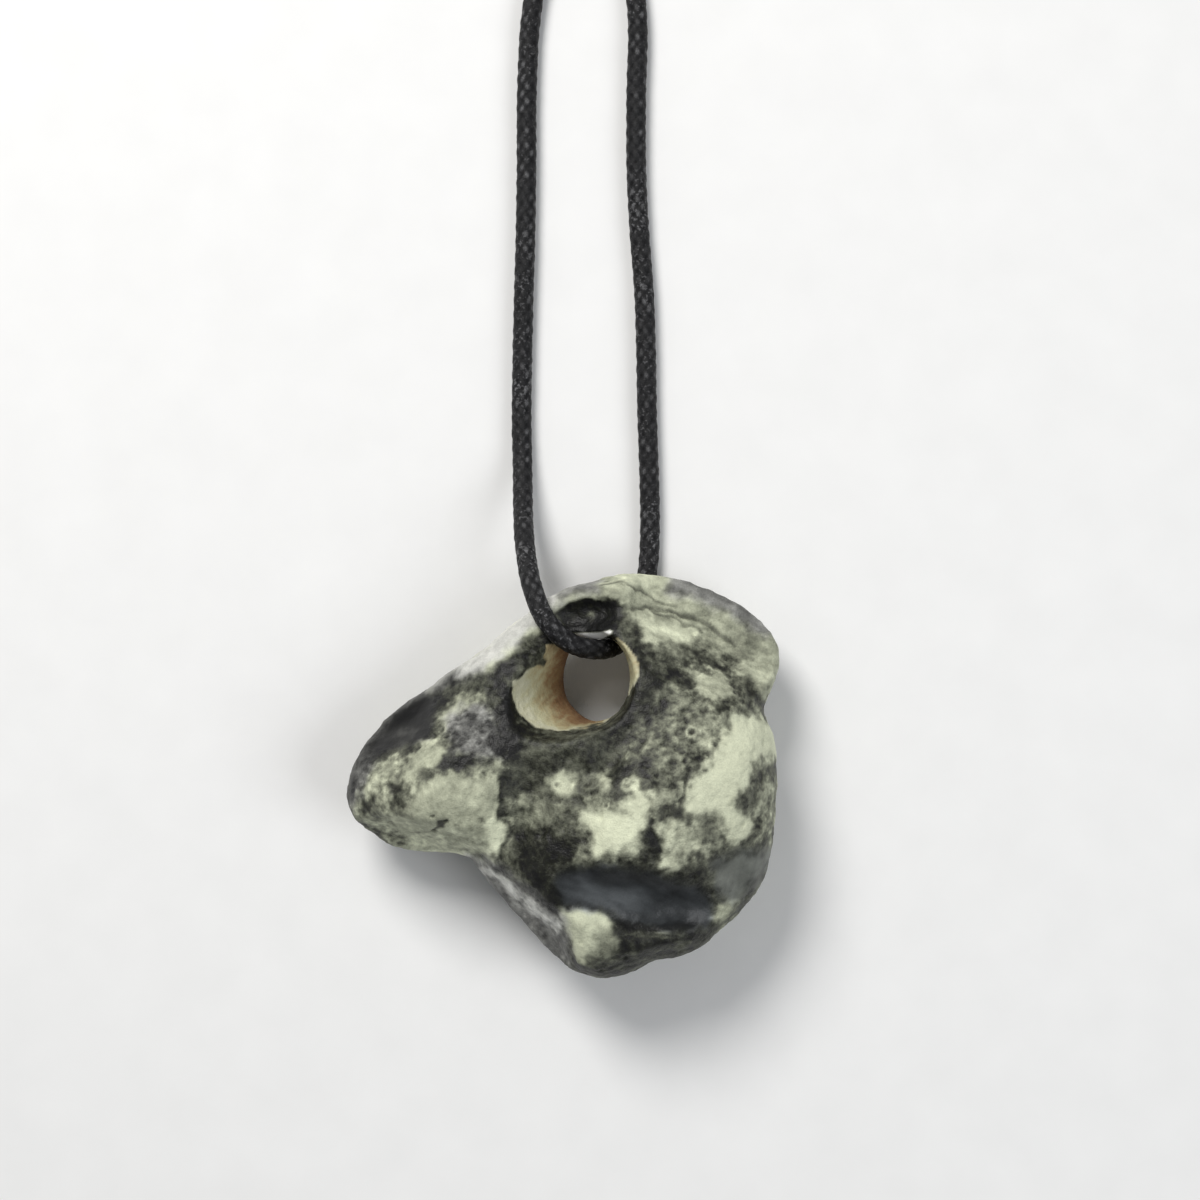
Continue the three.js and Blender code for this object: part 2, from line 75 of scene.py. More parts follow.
# Each marking has its shade, from 0 for black to 1 for white, how mottled it is, how gradual its edge is
# in mm, how far in mm that edge wanders, and its outline on the front in mm, as it shows from straight
# above. A later marking lies over the ones before it.
MARKINGS = {
    # dark flint round the hole and down the middle
    "low middle": (0.14, 0.065, 0.7, 0.4, [(-5.6, -5), (-1, -5.4), (1.6, -6.2), (3, -8.6), (8, -8.8),
        (13.6, -9.6), (14.6, -12.6), (13, -16.4), (6, -18.6), (2, -19.6), (-3.4, -12.6), (-5.6, -9.6)]),
    # the band over the hole
    "shoulder": (0.6, 0.035, 0.35, 0.3, SHOULDER),
    "shoulder left": (0.5, 0.045, 0.5, 0.3, [(-1.8, 16.6), (-1.6, 20.2), (3.6, 22), (3.6, 17.6),
        (0.4, 17.6)]),
    "shoulder grey": (0.45, 0.03, 0.5, 0.3, [(10.2, 18.6), (11.4, 22.6), (19, 20.6), (23.6, 15),
        (20.3, 13.9), (16.2, 16.5), (13, 17.9)]),
    "shoulder patch": (0.78, 0.015, 0.6, 0.3, [(7.8, 13.7), (12.9, 13.4), (12.9, 14.6), (10.4, 15.7),
        (8, 15.5)]),
    "shoulder end": (0.75, 0.03, 0.5, 0.3, [(16.2, 13.7), (18.2, 13.6), (18.2, 15.1), (16.6, 15.3)]),
    "shoulder top": (0.67, 0.04, 0.35, 0.3, [(3.9, 18), (5, 17.5), (7.6, 17.8), (7.6, 18.9), (5.6, 19.3),
        (4.2, 19.2)]),
    "top edge": (0.72, 0.04, 0.4, 0.3, [(6, 19.3), (8, 18.7), (9.9, 18.6), (10.4, 20.4), (8, 22),
        (5.8, 21.6)]),
    "shoulder middle": (0.65, 0.04, 0.5, 0.3, [(9, 16.4), (12.6, 16.2), (15.4, 15), (16.4, 15.6), (13, 17.4),
        (10.6, 17.8)]),
    "shoulder right": (0.55, 0.05, 0.6, 0.3, [(14, 15.6), (16, 15.2), (19.6, 13.2), (19, 11.4), (17, 12.2),
        (14, 13.4)]),
    "shoulder shadow": (0.5, 0.04, 0.6, 0.3, [(18.4, 14.9), (20.4, 14.4), (20.9, 13.2), (19.2, 12.6),
        (18.5, 13.6)]),
    "notch lobe": (0.65, 0.05, 0.35, 0.2, [(19.3, 12.6), (20.8, 13.9), (23.6, 12.8), (22, 8.8), (20, 7.4),
        (19.5, 9.6)]),
    "under the shoulder": (0.4, 0.06, 0.6, 0.4, [(7.4, 13), (10, 13), (14, 12.7), (16.6, 11.2), (18.6, 9.4),
        (19.6, 7.2), (18.2, 7.8), (16, 10.6), (13, 11.4), (8.6, 11.2)]),
    "notch field": (0.52, 0.08, 0.4, 0.4, [(16.4, 8.9), (18.2, 8.6), (19.6, 7), (20.8, 5.2), (18.8, 5.8),
        (16.9, 6.8)]),
    "beside the hollow": (0.3, 0.09, 0.4, 0.4, [(5.4, 17), (7, 16.6), (7.2, 15), (8, 13.2), (7.6, 12),
        (6.2, 12.8), (5.2, 14.2), (5.2, 15.6)]),
    "hollow": (0.05, 0.04, 0.25, 0.3, [(-0.5, 16.4), (0.3, 17.5), (2.2, 17.8), (4.6, 17.6), (6.2, 17),
        (6.1, 15.6), (5.3, 14.6), (5, 13.2), (0.6, 13.2)]),
    "hollow floor": (0.08, 0.06, 0.5, 0.3, [(0.2, 16.4), (1.4, 17.2), (3.2, 17), (3.8, 15.6), (2.6, 14.9),
        (0.9, 15)]),
    "hollow rim": (0.66, 0.03, 0.15, 0.1, [(-0.9, 16.3), (-0.5, 17.3), (0.4, 18), (1.8, 18.35), (3.5, 18.15),
        (3.3, 17.75), (1.8, 17.85), (0.6, 17.5), (-0.1, 16.8)]),
    "hollow glint": (0.5, 0.02, 0.15, 0.1, [(2.4, 16), (2.6, 16.4), (3, 16.4), (3, 16)]),
    # the left edge above the lobe
    # painted shade: the dark area beside the hole's left side
    "painted shade left of the hole": (0.08, 0.06, 0.8, 0.5, [(-8.4, 10.6), (-5.2, 12.6), (-2, 13.6), (-5, 9.4),
        (-4.6, 6.8), (-2.6, 4.9), (-5, 2), (-7.4, 3), (-7, 7)]),
    "rim band low": (0.24, 0.06, 0.35, 0.3, [(-14.8, 8.6), (-11.6, 12), (-8.4, 13.6), (-7.6, 10.4),
        (-9.8, 9.5), (-13, 8.2)]),
    "rim band": (0.76, 0.03, 0.3, 0.2, [(-10.8, 10), (-10.4, 12.6), (-6, 17), (-1.6, 20), (-0.2, 17.6),
        (-2.4, 14.6), (-4.3, 13.3), (-5.3, 11.8), (-7, 10.6), (-9, 10)]),
    # painted rim light: a thin pale line along the lobe's upper left silhouette
    "painted rim light line": (0.56, 0.03, 0.15, 0.1, [(-16, 7.2), (-12.6, 10.4), (-10, 13), (-9.6, 11.6), (-12.2, 9.1),
        (-15.6, 6.8)]),
    # the right half of the body
    "field": (0.34, 0.13, 0.9, 0.6, [(6.6, 5.6), (9.6, 9.4), (12.8, 11.6), (17, 10.4), (18.6, 7.8),
        (17.2, 6.2), (16.2, 3.2), (12.8, 0.4), (11.6, -1.6), (9, 0.2), (6.6, 2.2)]),
    "field middle": (0.48, 0.125, 0.7, 0.6, [(11, 6.6), (12, 8.4), (14.4, 7.2), (15.8, 5.2), (15, 2.6),
        (13, 1.6), (11.4, 3)]),
    "right of the hole": (0.17, 0.06, 0.7, 0.4, [(6.6, 13), (9, 12.4), (10.2, 9.6), (9.4, 6.4), (6.4, 4.6),
        (5, 5.4), (6.6, 9)]),
    "field patch": (0.62, 0.06, 0.5, 0.5, [(13.4, 8.2), (13.3, 9.8), (14.8, 10.7), (16.6, 10.2), (17.2, 8.6),
        (16.4, 7.5), (14.8, 7.3)]),
    "field spot": (0.2, 0.04, 0.25, 0.3, [(12, 9.6), (12.9, 9.6), (12.8, 8.7), (12.1, 8.7)]),
    "field corner": (0.27, 0.05, 0.3, 0.3, [(15.4, 7.3), (16.6, 7.6), (16.8, 6.7), (15.8, 6.4)]),
    "right patch": (0.785, 0.015, 0.4, 0.4, [(17, 6.3), (18.7, 6.2), (20.4, 5.6), (22.4, 4.4), (22.6, 2.2),
        (20.8, 1.7), (19.4, 1.4), (19, 0.4), (18.2, -1.4), (17.6, -2.8), (18.2, -4), (19, -4.6),
        (18.9, -5.7), (18.2, -6.6), (17, -6.9), (16.2, -5.8), (15.4, -4.3), (12.8, -4), (11.9, -3.1),
        (12.3, -1.6), (13.4, 0.3), (14.6, 1.7), (15.6, 3), (16.2, 4.9)]),
    "right edge": (0.5, 0.13, 0.45, 0.4, [(20, 0.2), (22, 0), (22, -3.6), (20.6, -6.6), (19.4, -6.6),
        (19.4, -4.4), (18.3, -3.4), (18.9, -1.2)]),
    "right edge spot": (0.22, 0.05, 0.3, 0.3, [(19.3, 0.6), (20.4, 0.2), (20.6, -0.9), (19.4, -0.8)]),
    "right edge low spot": (0.34, 0.05, 0.3, 0.3, [(18.9, -1.6), (20, -1.8), (19.8, -3), (18.8, -2.8)]),
    "centre halo": (0.4, 0.1, 0.6, 0.5, [(1.2, -3.4), (3.2, -2.4), (7.6, -2.6), (9.4, -4), (8.8, -5.4),
        (8, -7.2), (6.6, -8.4), (3.2, -9), (2, -8.2), (2.4, -6)]),
    "centre": (0.83, 0.02, 0.42, 0.2, [(2, -3.6), (3.4, -3.1), (5.5, -3.3), (6.4, -3.6), (8.6, -4.2),
        (8, -5.2), (7.3, -6.2), (6.9, -7.6), (6.2, -7.3), (5.5, -8.1), (4.7, -7.3), (3.7, -8.2), (2.8, -8.4),
        (2.7, -7), (3, -6), (1.9, -4.9)]),
    "centre upper": (0.8, 0.04, 0.4, 0.5, [(6.1, -0.2), (7.6, -0.4), (9, -1.4), (9.2, -3.2), (9, -4.2),
        (7, -4), (5.8, -3.4), (6.8, -2)]),
    "centre right": (0.62, 0.08, 0.45, 0.5, [(8.8, -1.2), (11.6, -1.2), (11.8, -2.6), (10.4, -3.5),
        (8.8, -3.4)]),
    "cluster": (0.65, 0.08, 0.45, 0.5, [(9, -4.4), (11.4, -4.2), (12.9, -4.5), (13.4, -6.4), (15, -7),
        (14.2, -8), (12.2, -8.5), (11.4, -9.3), (9.5, -9), (9.2, -8), (10.4, -7.4), (9.6, -6)]),
    "cluster grey": (0.46, 0.08, 0.45, 0.4, [(12.9, -4), (15.2, -4), (16.4, -5.6), (16.2, -7), (14.2, -7.2),
        (13, -6)]),
    "cluster foot": (0.74, 0.04, 0.3, 0.3, [(9.6, -7.8), (11.2, -7.7), (11.5, -8.7), (10.6, -9.2),
        (9.6, -8.8)]),
    "dark clump": (0.17, 0.05, 0.3, 0.4, [(8.1, -5.6), (8.8, -5.5), (9.4, -6.4), (9.7, -7.3), (9, -7.4),
        (8.5, -6.7)]),
    "dark speck": (0.18, 0.04, 0.3, 0.3, [(10.6, -3.4), (11.8, -3), (11.9, -4.2), (10.9, -4.2)]),
    "pitted patch": (0.8, 0.05, 0.3, 0.25, [(-1.6, -0.2), (0, 0.7), (1.4, 0.2), (1.5, -1.2), (0.5, -2.3),
        (-0.8, -2), (-1.7, -1.1)]),
    "scattered cream": (0.5, 0.1, 0.4, 0.5, [(2.2, 0.4), (4.3, 0.8), (4.9, -0.8), (4.6, -2.3), (3.4, -2.2),
        (2.4, -1.4)]),
    "scattered blotch": (0.68, 0.05, 0.3, 0.3, [(3.3, 0.1), (4.2, 0.3), (4.7, -0.8), (4.2, -1.7),
        (3.4, -1.2)]),
    "saddle": (0.38, 0.08, 0.6, 0.5, [(-4.9, -2.5), (-2.4, -2.2), (1, -2.8), (1.2, -4.4), (-1.6, -5.4),
        (-4.6, -5)]),
    "saddle stroke": (0.55, 0.05, 0.3, 0.3, [(-4.2, -2.6), (-3.6, -2.7), (-3.2, -4.6), (-3.9, -4.4)]),
    "saddle stroke 2": (0.52, 0.05, 0.3, 0.3, [(-2.7, -2.4), (-2.1, -2.5), (-2.3, -4.2), (-2.9, -4)]),
    # the left lobe
    "lobe": (0.33, 0.12, 0.45, 0.5, [(-13.2, 3.6), (-12, 7), (-9.8, 8), (-7.6, 7), (-7.1, 3.2), (-6, 1.4),
        (-7.4, 0), (-14, 0.4), (-15.6, 2.2)]),
    "lobe tip": (0.64, 0.12, 0.5, 0.5, [(-18.8, 1.2), (-16.6, 2.2), (-15, 0.4), (-15.2, -2.4), (-17, -6.6),
        (-19.4, -5.4), (-21.2, -2.6), (-20.6, 0)]),
    "lobe flat": (0.64, 0.05, 0.35, 0.4, [(-15.7, -2.2), (-14.4, -0.4), (-12.6, 0.4), (-9.4, 0.4),
        (-6.4, 0.8), (-6.2, -1.2), (-6.4, -4), (-6.2, -6.8), (-9, -8), (-14.8, -7.4), (-16.4, -5.6),
        (-16.4, -4)]),
    "lobe foot": (0.71, 0.085, 0.6, 0.4, [(-15.6, -6), (-11, -5.6), (-7.4, -6), (-6.6, -9.6), (-10.5, -8.8),
        (-15.8, -8.6)]),
    "lobe corner": (0.88, 0.03, 0.35, 0.3, [(-7.9, -4.8), (-6.4, -4.4), (-5.5, -4.5), (-5.3, -5.9),
        (-6, -6.9), (-6.4, -8.2), (-7.4, -7.6), (-7.6, -6.2)]),
    "lobe left patch": (0.67, 0.06, 0.3, 0.3, [(-17.4, -4), (-16.4, -3.6), (-15.2, -4.6), (-15.4, -5.6),
        (-16.6, -5.4)]),
    "lobe bright": (0.66, 0.05, 0.35, 0.4, [(-15.4, 2.4), (-14, 3.5), (-12.2, 3.3), (-11.6, 2), (-12.4, 0.9),
        (-14, 0.7), (-15, -0.2), (-16.2, 0), (-15.7, 1.2)]),
    "lobe chain": (0.52, 0.08, 0.35, 0.4, [(-18.6, 0.4), (-17.2, 2), (-16.2, 2.3), (-16.6, 1),
        (-17.6, -0.2)]),
    "lobe upper": (0.65, 0.06, 0.3, 0.4, [(-13, 5.4), (-12.4, 6.6), (-11.2, 7.6), (-9.4, 8.2), (-8.8, 7.2),
        (-9.8, 6.2), (-10.8, 5.2), (-12.3, 4.3)]),
    "lobe upper edge": (0.52, 0.08, 0.4, 0.4, [(-9.9, 8), (-8.6, 8.2), (-7.6, 6.8), (-8, 5.4), (-9.2, 6.2)]),
    "lobe glint": (0.56, 0.04, 0.25, 0.2, [(-10.6, 2.6), (-9.6, 2.8), (-9.4, 2.1), (-10.4, 2)]),
    "lobe crest": (0.6, 0.07, 0.35, 0.4, [(-9.4, 1.5), (-7.4, 1.7), (-5.6, 1.4), (-5.4, 0.6), (-7.4, 0.4),
        (-9.2, 0.5)]),
    "lobe groove": (0.08, 0.04, 0.2, 0.4, [(-12.9, 1), (-12.2, 0.5), (-11.4, 1), (-10.6, 0.4), (-9.6, 0.9),
        (-8.8, 1.2), (-9.6, 1.9), (-10.6, 1.7), (-11.2, 2.4), (-12, 1.7)]),
    "lobe blotch": (0.16, 0.05, 0.3, 0.3, [(-17.6, -0.9), (-16, -0.9), (-15.4, -1.8), (-16.6, -2.4),
        (-17.4, -1.9)]),
    "lobe blotch 2": (0.17, 0.04, 0.3, 0.3, [(-17, -2.6), (-16.2, -2.6), (-16.4, -3.7), (-17.2, -3.5)]),
    "lobe blotch 3": (0.14, 0.04, 0.3, 0.3, [(-19.9, -2.2), (-19.1, -2.2), (-19.1, -3.5), (-19.8, -3.4)]),
    "lobe facet": (0.06, 0.035, 0.4, 0.4, [(-19.6, 2.6), (-16.6, 6.4), (-14.2, 8.2), (-12.8, 8),
        (-12.8, 6.4), (-13.4, 4.4), (-15.6, 3.2), (-17.6, 2.2)]),
    "facet streak": (0.31, 0.03, 0.4, 0.2, [(-17.2, 3.9), (-16.4, 4.7), (-15, 4.8), (-15.2, 4),
        (-16.4, 3.6)]),
    "lobe edge": (0.26, 0.04, 0.4, 0.3, [(-22.4, -2.6), (-20.6, 2.6), (-16.6, 8), (-14, 9.2), (-14.4, 8.1),
        (-17, 6), (-19.4, 2.6), (-20.6, -0.6), (-21, -2.6)]),
    # the foot
    "grey edge": (0.42, 0.065, 0.7, 0.4, [(14.8, -8.6), (17.4, -7.6), (21.2, -7), (19.8, -10.6),
        (17.4, -13.4), (15.6, -12.2)]),
    "foot patch": (0.76, 0.02, 0.3, 0.25, [(-0.5, -13.3), (1.8, -13.2), (4.3, -13.6), (4.8, -14.8),
        (4.3, -16.4), (3.2, -17.8), (2.3, -18.9), (1.6, -18.6), (0.9, -16.4), (-0.5, -14.2)]),
    "foot grey": (0.5, 0.04, 0.45, 0.3, [(3.4, -15.2), (4.9, -14.9), (5.7, -16.4), (4.6, -17.8),
        (2.9, -18.2), (3.2, -16.6)]),
    "foot corner": (0.66, 0.08, 0.35, 0.3, [(14.8, -14.4), (15.6, -12.8), (17.2, -12.5), (17.2, -13.8),
        (15.6, -15.2)]),
    "side": (0.405, 0.07, 0.4, 0.3, [(-9.6, -7.8), (-7, -8.4), (-5, -10.6), (-0.6, -13.6), (0.8, -16),
        (0.6, -20), (-6.6, -14.4), (-10.2, -9.4)]),
    "side ridge": (0.87, 0.05, 0.25, 0.2, [(-8.3, -8.2), (-6.3, -9.6), (-4.1, -11.5), (-2, -13.2),
        (0, -14.7), (-0.3, -15.5), (-2.3, -14.1), (-4.5, -12.5), (-6.5, -10.6), (-8.5, -9.1)]),
    "side arc": (0.37, 0.06, 0.4, 0.2, [(-5.8, -7), (-5, -7.2), (-4.2, -10), (-3.4, -11.6), (-4.4, -11.2),
        (-5.4, -9.4)]),
    "scar": (0.205, 0.03, 0.5, 0.2, SCAR),
    # painted highlight: a soft pale streak across the scar's gloss
    "scar painted highlight": (0.36, 0.03, 0.7, 0.0, [(0.5, -10.7), (2.2, -10.4), (4.4, -11.2), (7.6, -11.4),
        (8.6, -12.6), (7, -13.6), (4, -12.9), (1, -12.3)]),
    "scar dark": (0.18, 0.02, 0.4, 0.0, [(2.6, -9.2), (7, -9.5), (10.6, -10.6), (10, -11.3), (6, -10.7),
        (3, -10.3)]),
    "scar low": (0.21, 0.02, 0.6, 0.0, [(9.6, -12.6), (12.2, -12.8), (12.6, -14.4), (10, -14.2)]),
}
GROUND_SHADE = 0.255  # of the dark flint between the markings
GROUND_MOTTLE = 0.07
FRINGED_SHADE = 0.55  # a marking paler than this has a dark fringe in places
FRINGE_DEPTH = 0.15
EDGE_MOTTLE = 0.06  # how much more mottled a marking's edge is
EDGE_LEAST = 1.9  # times its number: how far an edge reaches each way where it is sharpest
EDGE_VARIES = 2.3  # how much more than that where it is softest
PIT_SPOTS = [  # round dents with a pale rim: middle, radius, how pale the rim is, how dark the dent
    ((12.8, 4.4), 0.38, 0.62, 0.6), ((-0.75, -0.85), 0.26, 0.76, 0.5), ((2.5, -0.85), 0.4, 0.42, 0.4),
    ((12.1, 1.65), 0.28, 0.5, 0.45), ((10.7, 1.15), 0.75, 0.44, 0.3), ((-8.2, -4.3), 0.24, 0.6, 0.55),
    ((-8.4, 3.4), 0.26, 0.42, 0.55), ((4.2, -2.9), 0.2, 0.7, 0.5), ((-11.6, 4), 0.26, 0.42, 0.5),
]
CRACKS = [  # dark lines: their points, half their width, how dark they are
    ([(8.4, 18.1), (10, 17.3), (11.2, 17.1)], 0.14, 0.35),
    ([(6.2, 16.9), (8.6, 16.8), (10.4, 16.6), (12.7, 16), (14.2, 15.2), (15.4, 14.4), (17.2, 13)],
     0.22, 0.45),
    ([(8.6, 16.6), (9.6, 16), (11, 15.9), (12.4, 15.1), (14, 14.5)], 0.16, 0.4),
    ([(4, 19.2), (5.8, 19.3), (7, 18.9), (8, 18.3), (8.4, 18.1)], 0.13, 0.4),
    ([(13.1, 12.6), (15.2, 11.1), (17.1, 9.8), (18.5, 8.6), (19.9, 7.2)], 0.34, 0.4),
    ([(12.7, 0.6), (12.1, -0.9), (11.8, -2.6)], 0.2, 0.55),
    ([(-12.8, -5), (-12.3, -4.7), (-11.7, -4.6)], 0.15, 0.8),
    ([(-13.3, -4.1), (-13, -3.9)], 0.13, 0.6),
    ([(5.4, -14.4), (7.2, -14.9), (9, -15.1), (11.4, -15), (13.2, -14.6)], 0.3, 0.5),
    ([(-6.1, -0.2), (-6.2, -2.2), (-6.3, -4.2), (-5.3, -4.7), (-5.2, -5.8), (-6, -7), (-6.2, -8.2)],
     0.2, 0.45),
]
GLINTS = [  # thin pale edges of chipped flint: their points, half their width, their shade
    ([(6.4, -15.8), (8.4, -15.6), (10.4, -15.7), (11.6, -15.9), (12.7, -16.5)], 0.14, 0.42),
    ([(6.9, -16.1), (9.4, -16), (11.4, -16.3)], 0.11, 0.36),
]
FACET = [  # smooth and dark, on the lobe
    (-20, 2), (-16.8, 6.6), (-14.2, 8.4), (-12.8, 8), (-12.8, 6.4), (-13.6, 4.2), (-16, 3),
]
CORNER = [  # smooth and grey, right of the scar
    (14.8, -8.6), (17.4, -7.6), (21.2, -7), (19.8, -10.6), (17, -13), (15.6, -12.2),
]
CORNER_BLUE = 0.45  # its share of the scar's blue
PATINA = [  # places that are neutral grey and not olive
    [(-22.4, -3), (-20.6, 3), (-16, 8), (-9, 12.4), (-1.6, 18.4), (3.6, 20.4), (3.6, 18.4),
     (0.4, 18), (-4.6, 13.2), (-8.4, 10), (-13.4, 8), (-16.6, 5), (-19.4, 0.6), (-20.6, -3)],
    [(10.2, 18.4), (11, 20.6), (17.4, 18.4), (21.6, 15), (20.2, 13.9), (16.2, 16.4), (13, 17.8)],
    [(-9.8, -7.6), (-6.6, -8.4), (-4.6, -10.2), (-0.6, -12.8), (0.8, -16), (0.6, -20), (-6.6, -14.4),
     (-10.4, -9.4)],
    [(-11.4, 6.4), (-8.8, 7.4), (-6.6, 6.6), (-6, 2), (-8.4, 1.6), (-11, 2.4), (-11.8, 4.4)],
]
WORN_LIP_HIGHLIGHT = [  # the smooth, worn edge of the lip over the hole, painted near white as a highlight
    (1, 14.35), (2.2, 14.4), (3.1, 14.42), (4, 14.5), (4.7, 14.66), (5, 14.56), (4.9, 14.3),
    (4.1, 13.8), (3.1, 13.5), (2.4, 13.55), (1.2, 13.95), (0.8, 14.2),
]
# the shade of the painted highlight on the worn lip
WORN_LIP_HIGHLIGHT_SHADE = 0.97
RIM_LIGHT = 0.055  # painted rim light: how much paler the stone's steep outer edge is painted
STREAK_TURN = -24.0  # degrees, of the fine streaks on the shoulder and the scar
STREAK_STRETCH = 4.5  # how many times longer than wide they are
SHOULDER_STREAKS = 0.055  # how strong they are
SCAR_STREAKS = 0.022
HOLE_FRONT = [  # the pale inside of the hole as it shows in front
    (-1.5, 13.2), (-2, 12.2), (-1.5, 11.6), (-1.9, 11), (-2.6, 11.2), (-3.3, 10.8), (-4.1, 10),
    (-5, 9.4), (-5, 8), (-4.7, 6.8), (-3.9, 5.8), (-2.7, 4.9), (-1, 4.5), (0.5, 4.5), (1.6, 4.8),
    (3.2, 5.2), (4.2, 5.5), (5.1, 6.3), (5.9, 7.5), (6.5, 8.3), (7.3, 9.5), (7.55, 11.4), (6.9, 12.5),
    (5.5, 13.9), (4.9, 13.2), (0.6, 13.1),
]
HOLE_CLEAR = [  # the left side of the clear way through
    (0.4, 12), (0.1, 10.5), (0, 9), (0.2, 7.9), (1, 6.9), (2.1, 6.1), (3.2, 5.6), (4.2, 5.8),
]
BACK_MOUTH_MIDDLE = (5.2, 11.2)  # of the hole, behind
BACK_MOUTH_HALF = (6.6, 6.2)
HOLE_MIDDLE = (3.4, 9.85)
WALL_RIM_HIGHLIGHT = 0.43  # how much paler the hole's wall is painted along its lower rim, as a painted highlight
RIGHT_WALL_STAIN = 0.27
FRONT_WALL_HEIGHTS = (4.0, 5.0)  # mm, between which the wall seen in front begins
BACK_WALL_TOP = (7.0, 6.0)  # mm, between which the wall seen behind ends
BACK_WALL_FOOT = (0.8, 2.2)
DEEP_HEIGHTS = (8.5, 4.5)  # mm, between which the wall gets its deep stain
FRONT_HEIGHTS = (2.6, 5.8)  # mm, between which the back's pattern gives way to the markings
LIP_MIDDLE = (3.0, 14.3, 8.6)  # of the lip over the hole, whose worn edge is painted pale as a highlight
LIP_REACH = (2.4, 1.6, 2.4)
LIP_DROP = 0.62
GROOVE_REACH = 5.0  # from the lip's middle, where the cord may touch it
GROOVE_RADIUS = 1.08  # just over the cord's

# ---- numbers and noise

HASH_AXES = (73856093, 19349663, 83492791)
HASH_SEED = 2654435761
HASH_MIXERS = (1274126177, 2246822519)
WORD = np.uint64(0xFFFFFFFF)
CELL_SHIFT = 1000.0  # keeps every cell's number above 0
LUMP_GAIN = 1.7  # brings lumps to about -1 to 1
LUMP_SPREAD = 0.45  # the standard deviation of lumps


def step(low, high, value):
    """0 below low, 1 above high, and smooth between."""
    t = np.clip((value - low) / (high - low), 0.0, 1.0)
    return t * t * (3.0 - 2.0 * t)


def scramble(cells, seed):
    """A whole number from 0 to 2**32 for each cell, which looks random and is always the same."""
    x, y, z = (cells[:, i].astype(np.uint64) * np.uint64(HASH_AXES[i]) for i in range(3))
    h = ((x ^ y ^ z) ^ np.uint64(seed * HASH_SEED + 97)) * np.uint64(HASH_MIXERS[0]) & WORD
    h = (h ^ (h >> np.uint64(15))) * np.uint64(HASH_MIXERS[1]) & WORD
    return h ^ (h >> np.uint64(13))


def lumps(points, size, seed=0):
    """Smooth random values from about -1 to 1, whose swells are about size across."""
    scaled = points / size + CELL_SHIFT
    cell = np.floor(scaled).astype(np.int64)
    part = scaled - cell
    ease = part**3 * (part * (part * 6.0 - 15.0) + 10.0)
    total = np.zeros(len(points))
    for corner in np.ndindex(2, 2, 2):
        offset = np.array(corner)
        h = scramble(cell + offset, seed)
        turn = (h & np.uint64(0xFFFF)).astype(float) / 0x10000 * 2.0 * math.pi
        up = ((h >> np.uint64(16)) & np.uint64(0xFFFF)).astype(float) / 0x8000 - 1.0
        flat = np.sqrt(np.maximum(1.0 - up * up, 0.0))
        slope = np.stack([flat * np.cos(turn), flat * np.sin(turn), up], axis=1)
        weight = np.prod(np.where(offset, ease, 1.0 - ease), axis=1)
        total += weight * np.sum(slope * (part - offset), axis=1)
    return total * LUMP_GAIN


def rough(points, size, layers, seed=0, keep=0.65):
    """Lumps with smaller lumps on them, each layer half the size and lower by keep. Two in three are
    between -1 and 1."""
    total = np.zeros(len(points))
    for layer in range(layers):
        total += lumps(points, size / 2**layer, seed + layer) * keep**layer
    return total / (LUMP_SPREAD * math.sqrt(sum(keep ** (2 * layer) for layer in range(layers))))


def pocks(points, size, seed=0):
    """How near each point is to a scattered spot: 1 at a spot, 0 half a cell away."""
    scaled = points / size + CELL_SHIFT
    cell = np.floor(scaled).astype(np.int64)
    nearest = np.full(len(points), np.inf)
    for corner in np.ndindex(3, 3, 3):
        there = cell + np.array(corner) - 1
        h = scramble(there, seed)
        spot = np.stack([(h >> np.uint64(s)) & np.uint64(0xFF) for s in (0, 8, 16)], axis=1) / 255.0
        nearest = np.minimum(nearest, np.sum((there + spot - scaled) ** 2, axis=1))
    return np.clip(1.0 - 2.0 * np.sqrt(nearest), 0.0, 1.0)


def line_distance(flat, points):
    """Distance from each point of a plane to a line through a list of points."""
    best = np.full(len(flat), np.inf)
    for a, b in zip(points[:-1], points[1:]):
        a, b = np.array(a), np.array(b)
        along = np.clip((flat - a) @ (b - a) / np.dot(b - a, b - a), 0.0, 1.0)
        best = np.minimum(best, np.linalg.norm(flat - a - along[:, None] * (b - a), axis=1))
    return best


def depth_inside(flat, outline):
    """Distance from each point of a plane to an outline: above 0 inside it, below 0 outside."""
    distance = line_distance(flat, outline + outline[:1])
    inside = np.zeros(len(flat), bool)
    for (ax, ay), (bx, by) in zip(outline, outline[1:] + outline[:1]):
        crosses = (ay > flat[:, 1]) != (by > flat[:, 1])
        rise = by - ay if by != ay else 1e-9
        inside ^= crosses & (flat[:, 0] < (bx - ax) * (flat[:, 1] - ay) / rise + ax)
    return np.where(inside, distance, -distance)


# ---- meshes


def mesh_arrays(mesh):
    """A mesh's vertex places and normals, as arrays."""
    count = len(mesh.vertices)
    places, normals = np.zeros(count * 3), np.zeros(count * 3)
    mesh.vertices.foreach_get("co", places)
    mesh.vertices.foreach_get("normal", normals)
    return places.reshape(-1, 3), normals.reshape(-1, 3)


def put_places(mesh, places):
    """Moves a mesh's vertices to new places."""
    mesh.vertices.foreach_set("co", np.asarray(places, np.float32).ravel())
    mesh.update()


def put_attribute(mesh, name, values):
    """Keeps a number for each vertex, which a material reads by its name."""
    attribute = mesh.attributes.new(name, "FLOAT", "POINT")
    attribute.data.foreach_set("value", np.asarray(values, np.float32))


def new_object(name, data, place=(0.0, 0.0, 0.0)):
    """A new object of the scene, from a mesh, a camera or a light."""
    thing = bpy.data.objects.new(name, data)
    thing.location = place
    bpy.context.scene.collection.objects.link(thing)
    return thing


def new_piece(name, mesh, material):
    """A new piece of the part, with one material."""
    mesh.materials.clear()
    mesh.materials.append(material)
    return new_object(name, mesh)


# ---- node materials


